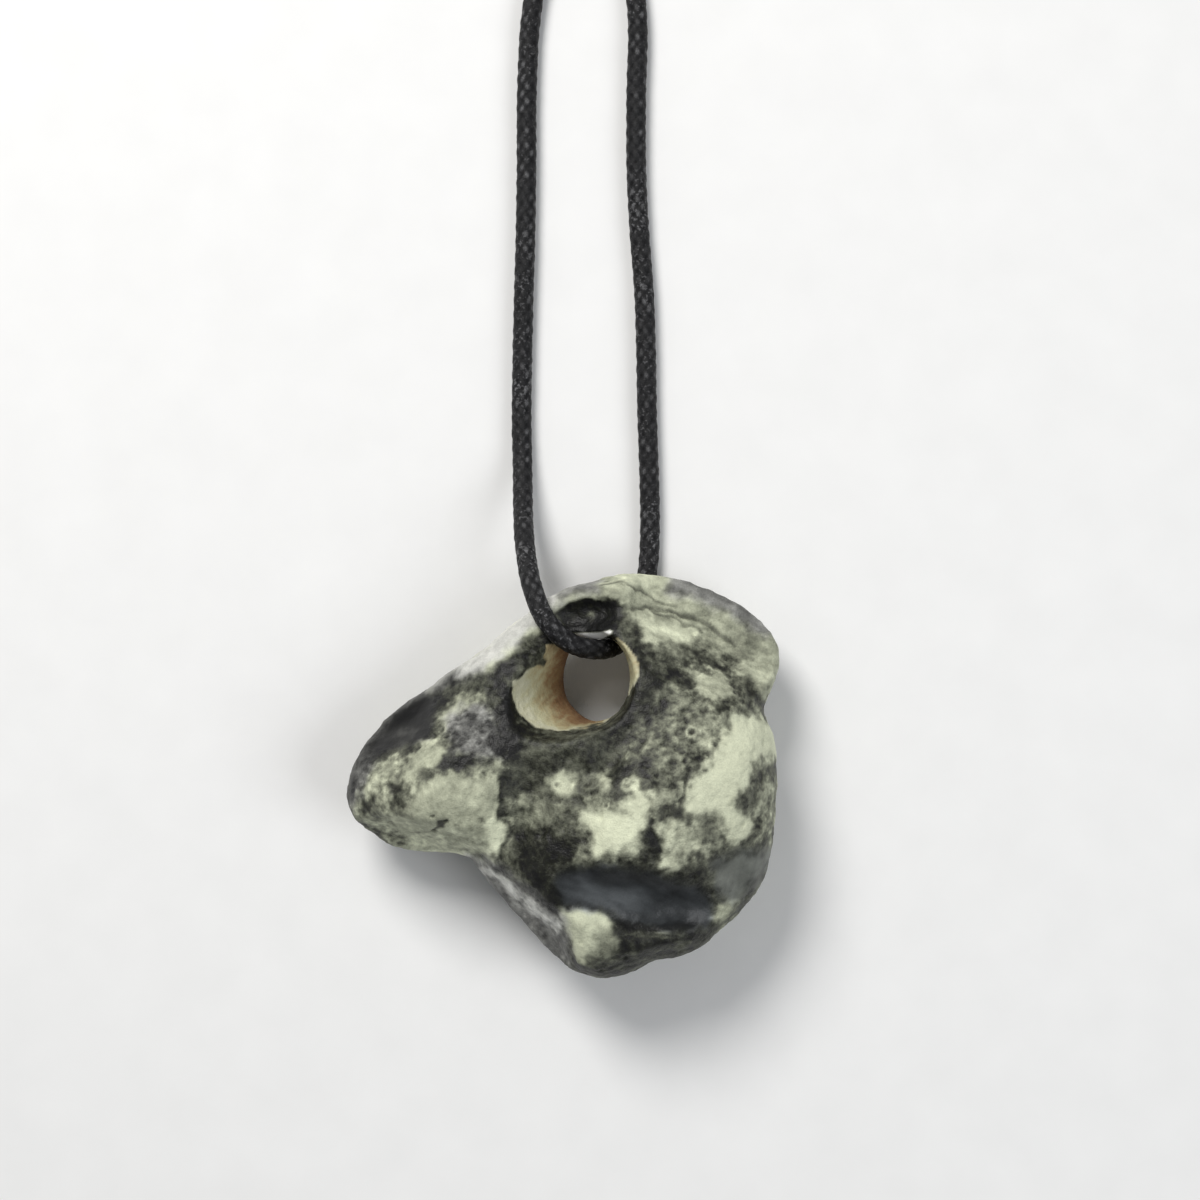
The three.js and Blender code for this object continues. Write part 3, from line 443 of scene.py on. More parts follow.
class Nodes:
    """Short words for the nodes of one material."""

    def __init__(self, name):
        self.material = bpy.data.materials.new(name)
        self.material.use_nodes = True
        self.tree = self.material.node_tree
        self.shader = self.tree.nodes["Principled BSDF"]
        self.place = None

    def add(self, kind, inputs, **settings):
        """A new node with these settings, and with these inputs linked or set."""
        node = self.tree.nodes.new("ShaderNode" + kind)
        for name, value in settings.items():
            setattr(node, name, value)
        for key, value in inputs.items():
            self.feed(node.inputs[key], value)
        return node

    def feed(self, socket, value):
        """Links another node's output to a socket, or sets the socket's own value."""
        if isinstance(value, bpy.types.NodeSocket):
            self.tree.links.new(value, socket)
        else:
            socket.default_value = value

    def attribute(self, name):
        """The number that put_attribute kept for each vertex."""
        return self.add("Attribute", {}, attribute_name=name).outputs["Fac"]

    def noise(self, size, detail=2.0, roughness=0.5):
        """Noise whose swells are about size mm across, from 0 to 1."""
        if self.place is None:
            self.place = self.add("TexCoord", {}).outputs["Object"]
        inputs = {"Vector": self.place, "Scale": 1.0 / (size * MM), "Detail": detail, "Roughness": roughness}
        return self.add("TexNoise", inputs).outputs["Fac"]

    def math(self, operation, a, b, clamp=False):
        """The sum, the product or the greater of two values."""
        return self.add("Math", {0: a, 1: b}, operation=operation, use_clamp=clamp).outputs[0]

    def spread(self, value, low, high, to_low=0.0, to_high=1.0):
        """The value, with low to high made to_low to to_high, and held between those."""
        inputs = {"Value": value, "From Min": low, "From Max": high, "To Min": to_low, "To Max": to_high}
        return self.add("MapRange", inputs).outputs["Result"]

    def ramp(self, value, stops):
        """A colour between stops, which are places from 0 to 1 with their colours."""
        node = self.add("ValToRGB", {"Fac": value})
        band = node.color_ramp
        while len(band.elements) < len(stops):
            band.elements.new(0.5)
        for element, (place, colour) in zip(band.elements, stops):
            element.position = place
            element.color = (*colour, 1.0)
        return node.outputs["Color"]

    def mix(self, share, a, b):
        """Colour a where the share is 0, and b where it is 1."""
        return self.add("Mix", {"Factor": share, "A": a, "B": b}, data_type="RGBA").outputs["Result"]

    def bump(self, height, depth):
        """Raises the surface by up to depth mm where height is 1."""
        node = self.add("Bump", {"Strength": 1.0, "Distance": depth * MM, "Height": height})
        self.feed(self.shader.inputs["Normal"], node.outputs["Normal"])


NOISE_BAND = (0.3, 0.7)  # where nearly all of a noise's values lie
SHADES = (0.06, 0.16, 0.26, 0.36, 0.46, 0.56, 0.66, 0.76, 0.86, 0.96)
DISPLAY_POWER = 2.2  # makes a shade that looks even into an amount of light
SHEEN = 0.007  # what the flint's gloss adds to a shade, which its colour leaves out
DARKEST = 0.002
OLIVE = (1.0, 1.018, 0.89)  # tints of the cortex, of the patina and of the scar
NEUTRAL = (1.0, 0.998, 0.985)
BLUE = (0.965, 1.0, 1.025)
GRANULE = 0.65  # mm, of the mottling that the material draws
GRAIN = 0.16
FLINT_BUMP = 0.09  # mm
WALL_COLOURS = [  # from the hole's rim to its deep, stained wall
    (0.00, (0.535, 0.525, 0.385)),
    (0.14, (0.480, 0.465, 0.305)),
    (0.38, (0.400, 0.345, 0.200)),
    (0.70, (0.240, 0.145, 0.068)),
    (1.00, (0.160, 0.078, 0.036)),
]


def shades(tint):
    """Ramp stops of one tint, from black to white, as even steps to the eye."""
    stops = []
    for shade in SHADES:
        colour = [max((shade * share) ** DISPLAY_POWER - SHEEN, DARKEST) for share in tint]
        stops.append((shade, tuple(colour)))
    return stops


def flint_material():
    """Mottled flint: olive-cream cortex on dark stone, grey patina, blue-black scar and the hole's wall."""
    n = Nodes("flint")
    granule = n.noise(GRANULE, detail=2.0, roughness=0.55)
    grain = n.noise(GRAIN, detail=2.0, roughness=0.5)
    calm = n.attribute("calm")
    speckle = n.math("MULTIPLY", n.spread(granule, *NOISE_BAND, -1.0, 1.0), n.attribute("mottle"))
    speckle = n.math("ADD", speckle, n.spread(grain, *NOISE_BAND, -0.03, 0.03))
    speckle = n.math("MULTIPLY", speckle, n.spread(calm, 0.0, 1.0, 1.0, 0.35))
    level = n.math("ADD", n.attribute("shade"), speckle, clamp=True)
    colour = n.ramp(level, shades(OLIVE))
    for zone_name, tint in (("patina", NEUTRAL), ("slate", BLUE)):
        colour = n.mix(n.attribute(zone_name), colour, n.ramp(level, shades(tint)))
    stain = n.math("ADD", n.attribute("stain"), n.spread(granule, *NOISE_BAND, -0.08, 0.08), clamp=True)
    colour = n.mix(n.attribute("wall"), colour, n.ramp(stain, WALL_COLOURS))
    n.feed(n.shader.inputs["Base Color"], colour)
    chalky = n.spread(level, 0.2, 0.7, 0.5, 0.8)
    n.feed(n.shader.inputs["Roughness"], n.math("ADD", chalky, n.math("MULTIPLY", calm, -0.2), clamp=True))
    n.shader.inputs["Specular IOR Level"].default_value = 0.35
    relief = n.math("ADD", n.spread(granule, 0.25, 0.75, 0.0, 0.7), n.spread(grain, 0.2, 0.8, 0.0, 0.3))
    n.bump(n.math("MULTIPLY", relief, n.spread(calm, 0.0, 1.0, 1.0, 0.2)), FLINT_BUMP)
    return n.material


COTTON_COLOURS_WITH_GROOVE_SHADE = [  # from the braid's grooves to its crests, the grooves painted darker as shade
    (0.0, (0.003, 0.003, 0.003)),
    (0.6, (0.009, 0.009, 0.010)),
    (1.0, (0.019, 0.019, 0.020)),
]
# pale wax flecks, painted as glints on the crests
WAX_GLINT_COLOUR = (0.13, 0.13, 0.135, 1.0)
THREAD = 0.13  # mm, of the cotton's threads
WAX_GLINT_CRUMB = 0.3  # mm, of the pale wax flecks that are painted as glints
WAX_GLINT_STRETCH = 4.0  # mm of cord that has more painted wax glints or fewer
COTTON_BUMP = 0.06  # mm


def cord_material():
    """Black waxed cotton: dull and painted darker in the braid's grooves as shade, with pale flecks of wax on
    its crests painted as glints.
    """
    n = Nodes("waxed_cotton")
    crest = n.attribute("crest")
    thread = n.noise(THREAD, detail=2.0, roughness=0.7)
    # painted shade: the braid's grooves are painted darker than its crests
    shade = n.math("ADD", n.spread(crest, 0.1, 0.95), n.spread(thread, *NOISE_BAND, -0.35, 0.35), clamp=True)
    colour = n.ramp(shade, COTTON_COLOURS_WITH_GROOVE_SHADE)
    # painted glints: pale wax flecks on the braid's crests
    glint_crumb = n.spread(n.noise(WAX_GLINT_CRUMB, detail=1.0), 0.56, 0.68)
    glint_stretch = n.spread(n.noise(WAX_GLINT_STRETCH, detail=1.0), 0.42, 0.62, 0.15, 1.0)
    wax_glint = n.math("MULTIPLY", n.math("MULTIPLY", glint_crumb, glint_stretch), n.spread(crest, 0.45, 0.8), clamp=True)
    fleck_glint = n.math("MULTIPLY", n.attribute("fleck_glint"), n.spread(thread, 0.35, 0.6, 0.3, 1.0), clamp=True)
    colour = n.mix(n.math("MAXIMUM", fleck_glint, wax_glint), colour, WAX_GLINT_COLOUR)
    n.feed(n.shader.inputs["Base Color"], colour)
    n.feed(n.shader.inputs["Roughness"], n.spread(thread, *NOISE_BAND, 0.36, 0.6))
    n.shader.inputs["Specular IOR Level"].default_value = 0.16
    n.bump(thread, COTTON_BUMP)
    return n.material


def floor_material():
    """Pale paper, with hardly a tone in it."""
    n = Nodes("pale_floor")
    paper = n.ramp(n.noise(6.0, detail=3.0), [(0.0, (0.80, 0.80, 0.795)), (1.0, (0.86, 0.86, 0.855))])
    n.feed(n.shader.inputs["Base Color"], paper)
    n.shader.inputs["Roughness"].default_value = 0.85
    return n.material


# ---- the stone

VOXEL = 0.228  # mm, of the stone's fine mesh
EASING = 26  # passes that smooth away the solid's flat triangles
MELD = 0.001  # mm between vertices that are one
LUMP_HEIGHT = 0.055  # mm, as the four below are
CRUMB_HEIGHT = 0.03
CORTEX_HEIGHT = 0.11  # of pale cortex over dark flint
POCK_DEPTH = 0.16
CRACK_DEPTH = 0.11
RELIEF_FROM = 1.2  # mm above the floor, where the relief is whole


def fine_stone_mesh(node):
    """The stone's solid as an even, fine mesh in mm, with its flat triangles eased away."""
    mesh = node.data.copy()
    mesh.transform(Matrix.Scale(1.0 / MM, 4))
    joined = bmesh.new()
    joined.from_mesh(mesh)
    bmesh.ops.remove_doubles(joined, verts=joined.verts, dist=MELD)
    joined.to_mesh(mesh)
    joined.free()
    carrier = new_object("carrier", mesh)
    remesh = carrier.modifiers.new("even", "REMESH")
    remesh.mode = "VOXEL"
    remesh.voxel_size = VOXEL
    remesh.use_smooth_shade = True
    ease = carrier.modifiers.new("ease", "SMOOTH")
    ease.factor = 0.5
    ease.iterations = EASING
    graph = bpy.context.evaluated_depsgraph_get()
    fine = bpy.data.meshes.new_from_object(carrier.evaluated_get(graph))
    bpy.data.objects.remove(carrier)
    return fine


def from_above(places):
    """Where each point of the stone shows from straight above, on the level of its widest line."""
    middle = np.array(VIEW_MIDDLE)
    nearer = (CAMERA_HEIGHT - VIEW_LEVEL) / (CAMERA_HEIGHT - places[:, 2])
    return middle + (places[:, :2] - middle) * nearer[:, None]


def wandering(places, seed):
    """A small sideways shift for each point, which makes a marking's edge ragged."""
    shift = [lumps(places, 1.6, seed + i) + 0.5 * lumps(places, 0.7, seed + 4 + i) for i in (0, 1)]
    return np.stack(shift, axis=1) * 1.2


def front_shade(places, flat):
    """The front's shade at each point from its markings, and how mottled it is there."""
    shift = wandering(places, seed=11)
    crumble = rough(places, 1.6, 4, seed=17, keep=0.66)
    softer = EDGE_LEAST + EDGE_VARIES * step(-0.5, 0.5, lumps(places, 3.2, seed=29))
    level = np.full(len(flat), GROUND_SHADE)
    mottle = np.full(len(flat), GROUND_MOTTLE)
    for shade, mottled, soft, ragged, outline in MARKINGS.values():
        near = step(-1.0, 1.0, depth_inside(flat + shift * ragged, outline) / (softer * soft))
        inside = step(0.0, 1.0, near + 0.6 * ragged * crumble * 4.0 * near * (1.0 - near))
        if shade > FRINGED_SHADE:
            fringe = step(0.0, 0.15, inside) * step(0.5, 0.2, inside) * step(-0.6, 0.6, crumble)
            level -= FRINGE_DEPTH * fringe * ragged
        level += (shade - level) * inside
        mottle += (mottled - mottle) * inside
        mottle += EDGE_MOTTLE * 4.0 * inside * (1.0 - inside) * ragged
    return level, mottle


def back_shade(places):
    """The unseen back's shade, and how mottled it is: a few large pale patches on dark flint."""
    patches = step(-0.3, 0.7, rough(places, 9.0, 4, seed=51))
    return 0.26 + 0.42 * patches, 0.10 - 0.06 * patches


def zone(places, flat, outlines, soft, seed):
    """1 inside any of the outlines and 0 outside, across a soft and ragged edge."""
    shifted = flat + wandering(places, seed) * 0.4
    return np.max([step(-soft, soft, depth_inside(shifted, outline)) for outline in outlines], axis=0)


def hole_wall(places, flat, normals):
    """Where the hole's wall is, and how stained it is there, with a painted highlight that makes its lower
    rim paler.
    """
    to_hole = np.array(HOLE_MIDDLE) - places[:, :2]
    reach = np.maximum(np.linalg.norm(to_hole, axis=1), 1e-6)
    facing = np.sum(normals[:, :2] * to_hole, axis=1) / reach
    ragged = wandering(places, seed=71) * 0.22
    depth = depth_inside(flat + ragged, HOLE_FRONT)
    front_wall = step(-0.08, 0.08, depth) * step(*FRONT_WALL_HEIGHTS, places[:, 2])
    from_mouth = (places[:, :2] - np.array(BACK_MOUTH_MIDDLE)) / np.array(BACK_MOUTH_HALF)
    back_wall = step(0.12, 0.35, facing) * step(-0.06, 0.02, 1.0 - np.linalg.norm(from_mouth, axis=1))
    back_wall *= step(*BACK_WALL_TOP, places[:, 2]) * step(*BACK_WALL_FOOT, places[:, 2])
    down_wall = np.stack([flat[:, 0] + flat[:, 1], (flat[:, 0] - flat[:, 1]) * 3.0, flat[:, 0] * 0.0], axis=1)
    streaks = 0.08 * rough(down_wall, 3.0, 3, seed=77)
    stain = 0.94 - np.clip(line_distance(flat, HOLE_CLEAR) / 4.0, 0.0, 1.0) + streaks
    stain = np.where(places[:, 0] > 4.0, RIGHT_WALL_STAIN + streaks, stain)
    # painted highlight: the wall is painted paler along its lower rim
    stain -= WALL_RIM_HIGHLIGHT * step(0.55, 0.0, depth) * step(10.5, 8.5, places[:, 1])
    deep = step(*DEEP_HEIGHTS, places[:, 2]) * (0.4 + 0.5 * step(6.0, 2.5, places[:, 0]))
    return np.maximum(front_wall, back_wall), np.clip(np.maximum(stain, deep + streaks), 0.0, 1.0)


def fine_marks(places, flat, level, front):
    """The shade with the pits, cracks and chipped edges drawn in, and how deep each point is in a crack."""
    shift = np.stack([lumps(places, 1.1, seed=81), lumps(places, 1.1, seed=82)], axis=1) * 0.35
    broken = step(-0.5, 0.3, lumps(places, 1.4, seed=85))
    crack = np.zeros(len(flat))
    for line, half, dark in CRACKS:
        drawn = step(half * 1.7, half * 0.3, line_distance(flat + shift, line))
        crack = np.maximum(crack, dark * drawn * front)
    for middle, radius, rim_shade, dark in PIT_SPOTS:
        away = np.linalg.norm(flat + 0.5 * shift - np.array(middle), axis=1)
        rim = step(radius * 0.8, radius * 0.1, np.abs(away - radius * 1.5)) * front * (0.3 + 0.7 * broken)
        level = level + (rim_shade - level) * rim
        crack = np.maximum(crack, dark * step(radius * 1.2, radius * 0.4, away) * front)
    level = level * (1.0 - 0.8 * crack)
    for line, half, shade in GLINTS:
        glint = step(half * 1.9, half * 0.2, line_distance(flat + 0.4 * shift, line)) * front * broken
        level += (shade - level) * glint
    return level, crack


def streaks(places, flat):
    """Fine slanting lines, mostly from -1 to 1, for the shoulder and the scar."""
    turn = math.radians(STREAK_TURN)
    along = flat @ np.array([math.cos(turn), math.sin(turn)])
    across = flat @ np.array([-math.sin(turn), math.cos(turn)])
    stretched = np.stack([along / STREAK_STRETCH, across, places[:, 2] * 0.3], axis=1)
    return rough(stretched, 0.9, 3, seed=61)


def whole_shade(places, flat, front, calm):
    """The whole stone's shade without its fine marks, and how mottled it is."""
    level, mottle = front_shade(places, flat)
    behind, behind_mottle = back_shade(places)
    level = behind + (level - behind) * front
    mottle = (behind_mottle + (mottle - behind_mottle) * front) * (1.0 - 0.6 * calm)
    level += mottle * rough(places, 1.9, 4, seed=31, keep=0.62)
    veins = step(0.10, 0.0, np.abs(lumps(places, 1.9, seed=37)))
    level -= 0.6 * mottle * veins
    return level, mottle


def flint_zones(places, normals):
    """The values that the flint's material and relief read, by name."""
    flat = from_above(places)
    height = places[:, 2] + lumps(places, 3.0, seed=5) + 2.0 * np.minimum(normals[:, 2], 0.0)
    front = step(*FRONT_HEIGHTS, height)
    scar = zone(places, flat, [SCAR], 0.7, seed=91)
    corner = zone(places, flat, [CORNER], 0.7, seed=91)
    slate = np.maximum(scar, CORNER_BLUE * corner) * front
    worn_and_highlight = step(-0.12, 0.12, depth_inside(flat, WORN_LIP_HIGHLIGHT)) * front
    smooth = zone(places, flat, [FACET, CORNER], 0.6, seed=95) * front
    calm = np.maximum(np.maximum(slate, worn_and_highlight), smooth)
    grey = zone(places, flat, [*PATINA, FACET], 0.7, seed=93) * front
    wall, stain = hole_wall(places, flat, normals)

    level, mottle = whole_shade(places, flat, front, calm)
    shoulder = step(-0.4, 0.6, depth_inside(flat, SHOULDER)) * front
    streaky = SHOULDER_STREAKS * shoulder * step(0.15, 0.4, level) + SCAR_STREAKS * slate
    level += streaky * streaks(places, flat)
    level, crack = fine_marks(places, flat, level, front)
    # painted rim light: the front's steep sides are painted paler
    level += RIM_LIGHT * step(0.5, 0.1, np.abs(normals[:, 2])) * front
    # painted highlight: the worn lip is painted near white
    level += (WORN_LIP_HIGHLIGHT_SHADE - level) * worn_and_highlight
    return {
        "shade": np.clip(level, 0.02, 0.98),
        "mottle": mottle,
        "crack": crack * (1.0 - worn_and_highlight),
        "wall": wall * (1.0 - worn_and_highlight),
        "stain": stain,
        "slate": slate,
        "calm": calm,
        "patina": np.maximum(grey * 0.85, worn_and_highlight),
    }


def flint_relief(places, zones):
    """How far each point is raised, in mm: lumps, raised cortex, pits and cracks, and smooth scars."""
    calm = (1.0 - 0.85 * zones["calm"]) * (1.0 - 0.6 * zones["wall"])
    relief = LUMP_HEIGHT * rough(places, 2.4, 3, seed=7) * calm
    relief += CRUMB_HEIGHT * lumps(places, 0.6, seed=13) * calm
    relief += CORTEX_HEIGHT * step(0.2, 0.6, zones["shade"]) * calm
    relief -= POCK_DEPTH * step(0.45, 0.9, pocks(places, 1.7, seed=17)) * calm
    relief -= CRACK_DEPTH * zones["crack"]
    return relief * step(0.0, RELIEF_FROM, places[:, 2])


def lower_lip(places):
    """Brings the lip over the hole down to the cord that bears on it."""
    away = (places - np.array(LIP_MIDDLE)) / np.array(LIP_REACH)
    places = places.copy()
    places[:, 1] -= LIP_DROP * step(1.0, 0.0, np.linalg.norm(away, axis=1))
    return places


def clear_of_cord(places):
    """Pushes the lip back to the cord's surface, as the groove that the cord wears in it."""
    line, _far = even_steps(smooth_route(CORD_ROUTE) / MM, 0.1)
    line = line[np.linalg.norm(line - np.array(LIP_MIDDLE), axis=1) < GROOVE_REACH]
    near = np.flatnonzero(np.linalg.norm(places - np.array(LIP_MIDDLE), axis=1) < GROOVE_REACH)
    offset = places[near][:, None] - line
    away = np.linalg.norm(offset, axis=2)
    nearest = away.argmin(axis=1)
    away = away[np.arange(len(near)), nearest][:, None]
    offset = offset[np.arange(len(near)), nearest]
    pushed = line[nearest] + offset / away * np.maximum(away, GROOVE_RADIUS)
    places = places.copy()
    places[near] = pushed
    return places


def stone():
    """The pebble, with its relief, its markings and the worn lip over its hole."""
    mesh = fine_stone_mesh(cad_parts["stone"])
    places, _normals = mesh_arrays(mesh)
    put_places(mesh, lower_lip(places))
    places, normals = mesh_arrays(mesh)
    zones = flint_zones(places, normals)
    relief = flint_relief(places, zones)
    put_places(mesh, clear_of_cord(places + normals * relief[:, None]))
    for name in ("shade", "mottle", "wall", "stain", "slate", "calm", "patina"):
        put_attribute(mesh, name, zones[name])
    mesh.transform(Matrix.Scale(MM, 4))
    piece = new_piece("flint_pebble", mesh, flint_material())
    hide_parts("stone")
    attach(piece, "root")


# ---- the cord

BRAID_RADIUS = 1.03
BRAID_DEPTH = 0.12  # from the crests to the grooves
BRAID_STRANDS = 6  # each way round
BRAID_LAY = 9.0  # length in which a strand goes once round
BRAID_SIDES = 48
BRAID_STEP = 0.16
BRAID_FUZZ = 0.035  # unevenness of the strands
TIP_ROUND = 0.5  # rounding of a cut end
ROUTE_STEPS = 40  # points between two of a route's own


def blend(t, low, high, a, b):
    """a where t is low and b where it is high, and evenly between."""
    return (high - t) / (high - low) * a + (t - low) / (high - low) * b


def smooth_route(points):
    """The centripetal Catmull-Rom curve that the solids follow, as close points."""
    points = np.array(points, float)
    ends = np.vstack([2 * points[0] - points[1], points, 2 * points[-1] - points[-2]])
    out = []
    for p0, p1, p2, p3 in zip(ends[:-3], ends[1:-2], ends[2:-1], ends[3:]):
        t0 = 0.0
        t1 = t0 + math.sqrt(np.linalg.norm(p1 - p0))
        t2 = t1 + math.sqrt(np.linalg.norm(p2 - p1))
        t3 = t2 + math.sqrt(np.linalg.norm(p3 - p2))
        t = np.linspace(t1, t2, ROUTE_STEPS, endpoint=False)[:, None]
        middle = blend(t, t1, t2, p1, p2)
        before = blend(t, t0, t2, blend(t, t0, t1, p0, p1), middle)
        after = blend(t, t1, t3, middle, blend(t, t2, t3, p2, p3))
        out.append(blend(t, t1, t2, before, after))
    return np.vstack([*out, points[-1:]])


def even_steps(line, gap):
    """Points along a line, evenly spaced about gap apart, and how far along it each is."""
    run = np.concatenate([[0.0], np.cumsum(np.linalg.norm(np.diff(line, axis=0), axis=1))])
    count = max(2, int(round(run[-1] / gap)) + 1)
    far = np.linspace(0.0, run[-1], count)
    return np.stack([np.interp(far, run, line[:, i]) for i in range(3)], axis=1), far


def carried_frames(line):
    """Two directions across a line at each of its points, which turn with it and never twist."""
    ahead = np.gradient(line, axis=0)
    ahead /= np.linalg.norm(ahead, axis=1)[:, None]
    across = np.cross(ahead[0], [0.0, 0.0, 1.0])
    sides = []
    for way in ahead:
        across = across - way * np.dot(across, way)
        across /= np.linalg.norm(across)
        sides.append(across)
    sides = np.array(sides)
    return sides, np.cross(ahead, sides)


def strand_numbers(turn, along):
    """Where each point lies among the braid's strands that go one way round, and the other way."""
    around = turn / (2 * math.pi)
    lay = along / BRAID_LAY
    return BRAID_STRANDS * (around + lay), BRAID_STRANDS * (around - lay)


def braid(one, other):
    """The height of a round braid's surface, from 0 to 1, with its strands passing over and under."""

    def family(mine, crossing):
        across = 2.0 * (mine - np.floor(mine)) - 1.0
        rib = np.sqrt(np.maximum(1.0 - across * across, 0.0))
        over = 0.5 + 0.5 * np.cos(math.pi * (crossing - 0.5 + np.floor(mine)))
        return rib * (0.45 + 0.55 * over)

    return np.maximum(family(one, other), family(other, one + 1.0))


def wax_glint_flecks(one, other, crest, seed):
    """How strongly each point gets a pale wax fleck painted as a glint. Only some of the places where a
    strand comes to the top get one.
    """
    which = np.stack([np.floor(one), np.floor(other), np.full(one.shape, float(seed))], axis=-1)
    number = scramble(which.reshape(-1, 3).astype(np.int64) + 500, seed=3)
    waxed = (number & np.uint64(0xFF)).astype(float) / 255.0
    return step(0.79, 0.99, crest.ravel()) * step(0.35, 1.05, waxed) ** 1.6


def tube_faces(rows, sides):
    """The faces of a tube of rows of points, with its two ends closed."""
    low = (np.arange(rows - 1)[:, None] * sides + np.arange(sides)).ravel()
    right = (np.arange(rows - 1)[:, None] * sides + (np.arange(sides) + 1) % sides).ravel()
    faces = np.stack([low, low + sides, right + sides, right], axis=1).tolist()
    return [*faces, range(sides), range(rows * sides - 1, (rows - 1) * sides - 1, -1)]


def braided_tube(line, shift=0.0, seed=0, cut=(False, False)):
    """Vertices, faces, and the two attributes of a braided cord along a line in mm."""
    points, far = even_steps(line, BRAID_STEP)
    side, up = carried_frames(points)
    turns = np.arange(BRAID_SIDES) / BRAID_SIDES * 2 * math.pi
    turn, along = np.meshgrid(turns, far + shift)
    one, other = strand_numbers(turn, along)
    crest = braid(one, other)
    radius = BRAID_RADIUS - BRAID_DEPTH * (1.0 - crest)
    for is_cut, from_end in zip(cut, (far, far[-1] - far)):
        if is_cut:
            share = np.clip(from_end / TIP_ROUND, 0.02, 1.0)
            radius *= np.sqrt(1.0 - (1.0 - share) ** 2)[:, None]
    ring = side[:, None] * np.cos(turn)[..., None] + up[:, None] * np.sin(turn)[..., None]
    places = (points[:, None] + ring * radius[..., None]).reshape(-1, 3)
    places += ring.reshape(-1, 3) * (BRAID_FUZZ * lumps(places, 0.45, 5 + seed))[:, None]
    return places, tube_faces(*crest.shape), crest.ravel(), wax_glint_flecks(one, other, crest, seed)


def cord_mesh(name, tubes):
    """One mesh in metres of several braided tubes."""
    faces = []
    start = 0
    for places, own_faces, _crests, _fleck_glints in tubes:
        faces.extend([i + start for i in face] for face in own_faces)
        start += len(places)
    places, _faces, crests, fleck_glints = zip(*tubes)
    mesh = bpy.data.meshes.new(name)
    mesh.from_pydata((np.vstack(places) * MM).tolist(), [], faces)
    mesh.polygons.foreach_set("use_smooth", np.ones(len(mesh.polygons), bool))
    put_attribute(mesh, "crest", np.concatenate(crests))
    put_attribute(mesh, "fleck_glint", np.concatenate(fleck_glints))
    mesh.update()
    return mesh


KNOT_MIDDLE = (2.3, 3.2)  # mm, across and up
KNOT_START = 95.25  # mm, where its turns begin
KNOT_TURNS = 3.5
KNOT_PITCH = 2.02
KNOT_HALF = (3.08, 2.12)  # of the turns' centre line
KNOT_FROM = 200.0  # degrees round the knot, where they begin


def knot_turns():
    """The turns of the knot: the cord wound round its own two strands, with both ends tucked in."""
    share = np.linspace(0.0, 1.0, 400)
    angle = share * 2 * math.pi * KNOT_TURNS + math.radians(KNOT_FROM)
    tuck = step(0.0, 0.07, share) * step(1.0, 0.93, share)
    across = KNOT_MIDDLE[0] + KNOT_HALF[0] * (0.35 + 0.65 * tuck) * np.cos(angle)
    height = KNOT_MIDDLE[1] + KNOT_HALF[1] * (0.2 + 0.8 * tuck) * np.sin(angle)
    along = KNOT_START + share * KNOT_TURNS * KNOT_PITCH
    return np.stack([across, along, height], axis=1)


def cord():
    """The cord's loop, and its knot with the two short ends."""
    cotton = cord_material()
    line = smooth_route(CORD_ROUTE)
    first = line[0] + np.array([0.0, INTO_KNOT, 0.0])
    last = line[-1] + np.array([0.0, INTO_KNOT, 0.0])
    line = np.vstack([first, line, last])
    loop = new_piece("cord_braid", cord_mesh("cord_braid", [braided_tube(line / MM)]), cotton)
    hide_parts("cord")
    tubes = [braided_tube(knot_turns(), shift=1.3, seed=7)]
    for number, route in enumerate(TAIL_ROUTES):
        tail = smooth_route(route) / MM
        tubes.append(braided_tube(tail, shift=number * 2.9, seed=11 + number, cut=(False, True)))
    knot = new_piece("cord_knot", cord_mesh("cord_knot", tubes), cotton)
    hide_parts("knot")
    for piece in (loop, knot):
        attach(piece, "root")
    path, _far = even_steps(line, 0.001)


# ---- the room

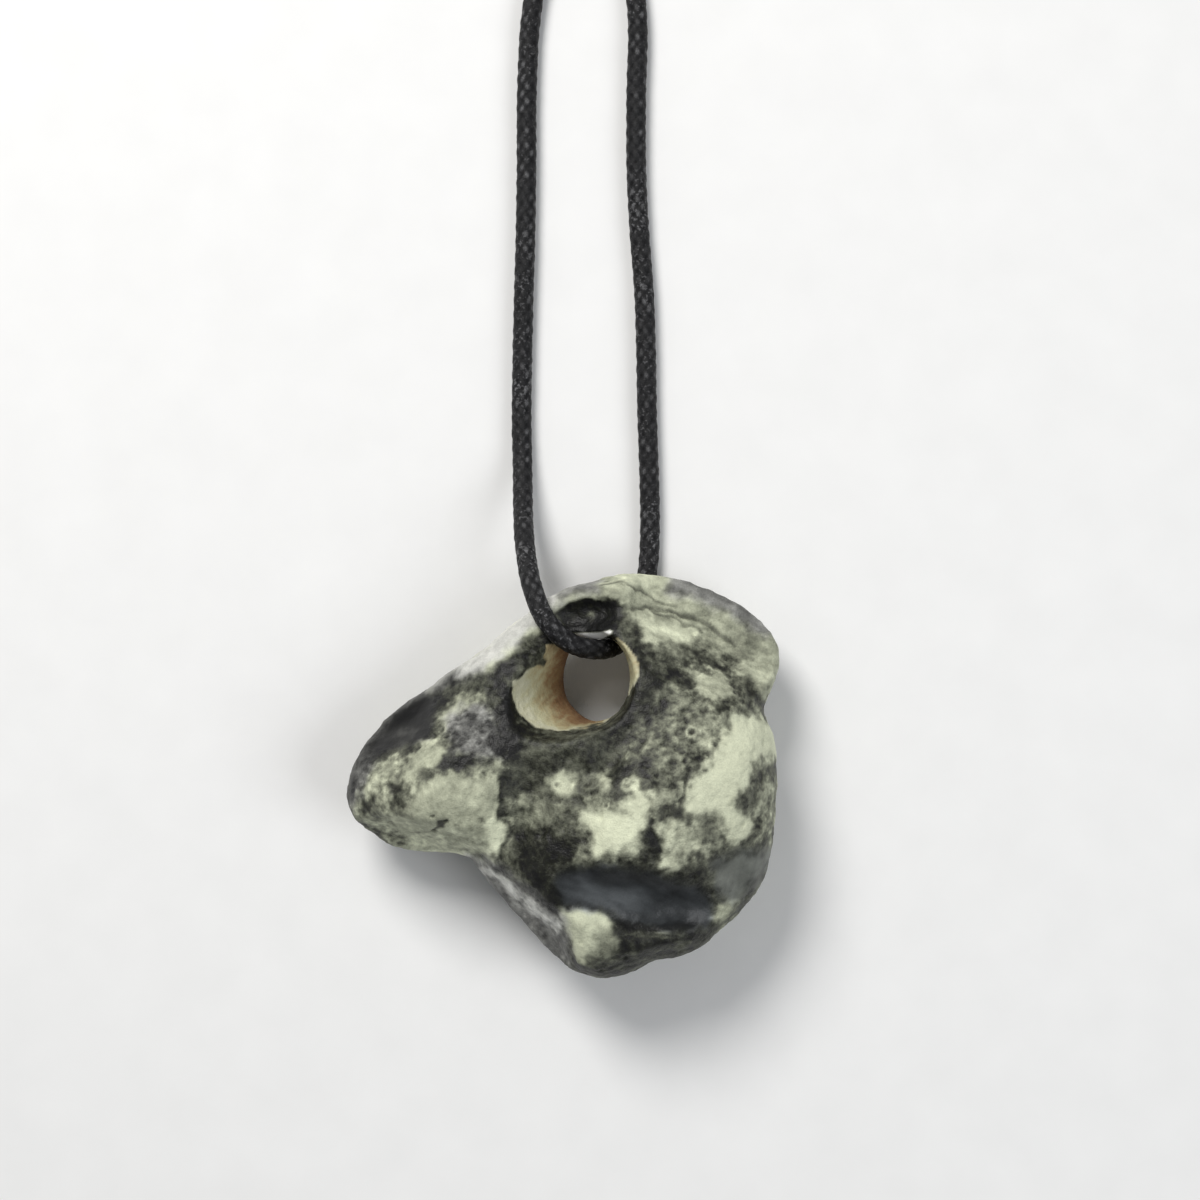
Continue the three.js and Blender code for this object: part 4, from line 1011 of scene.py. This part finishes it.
FLOOR_SIZE = 3.0  # metres
FLOOR_LEVEL = -0.00005  # just under the stone, so that no two faces share a level
SKY_COLOUR = (0.95, 0.97, 1.0, 1.0)
SKY_STRENGTH = 0.25
LIGHT_TARGET = (0.003, 0.0, 0.008)
LIGHTS = {  # place and size in metres, watts, colour
    "key": ((-0.16, 0.30, 0.36), 0.22, 2.05, (1.0, 0.985, 0.96)),
    "fill": ((0.30, -0.10, 0.34), 0.30, 0.75, (0.96, 0.98, 1.0)),
}


def camera():
    """Looks straight down, where the photograph looks level at the hanging stone."""
    data = bpy.data.cameras.new("camera")
    data.lens = LENS
    data.sensor_width = SENSOR
    data.clip_start = 0.01
    data.clip_end = 10.0
    place = (VIEW_MIDDLE[0] * MM, VIEW_MIDDLE[1] * MM, CAMERA_HEIGHT * MM)
    bpy.context.scene.camera = new_object("camera", data, place)


def soft_light(name, place, size, watts, colour):
    """A round light that faces the stone."""
    data = bpy.data.lights.new(name, "AREA")
    data.shape = "DISK"
    data.size = size
    data.energy = watts
    data.color = colour
    way = np.array(LIGHT_TARGET) - np.array(place)
    flat = math.hypot(way[0], way[1])
    thing = new_object(name, data, place)
    thing.rotation_euler = (math.atan2(flat, -way[2]), 0.0, math.atan2(-way[0], way[1]))


def room():
    """A pale floor, a dim sky and two soft lights."""
    bpy.ops.mesh.primitive_plane_add(size=FLOOR_SIZE, location=(0.0, 0.0, FLOOR_LEVEL))
    floor = bpy.context.object
    floor.name = "floor"
    floor.data.materials.append(floor_material())
    world = bpy.data.worlds.new("soft_room")
    world.use_nodes = True
    sky = world.node_tree.nodes["Background"]
    sky.inputs["Color"].default_value = SKY_COLOUR
    sky.inputs["Strength"].default_value = SKY_STRENGTH
    scene = bpy.context.scene
    scene.world = world
    scene.view_settings.view_transform = "Standard"
    for name, light in LIGHTS.items():
        soft_light(name, *light)


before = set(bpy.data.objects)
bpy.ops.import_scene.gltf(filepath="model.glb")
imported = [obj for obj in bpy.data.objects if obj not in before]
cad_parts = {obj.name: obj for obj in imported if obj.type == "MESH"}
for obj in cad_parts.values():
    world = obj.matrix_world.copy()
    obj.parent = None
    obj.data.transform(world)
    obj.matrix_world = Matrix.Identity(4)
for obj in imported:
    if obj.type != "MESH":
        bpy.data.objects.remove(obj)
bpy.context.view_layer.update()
camera()
cord()
stone()
room()
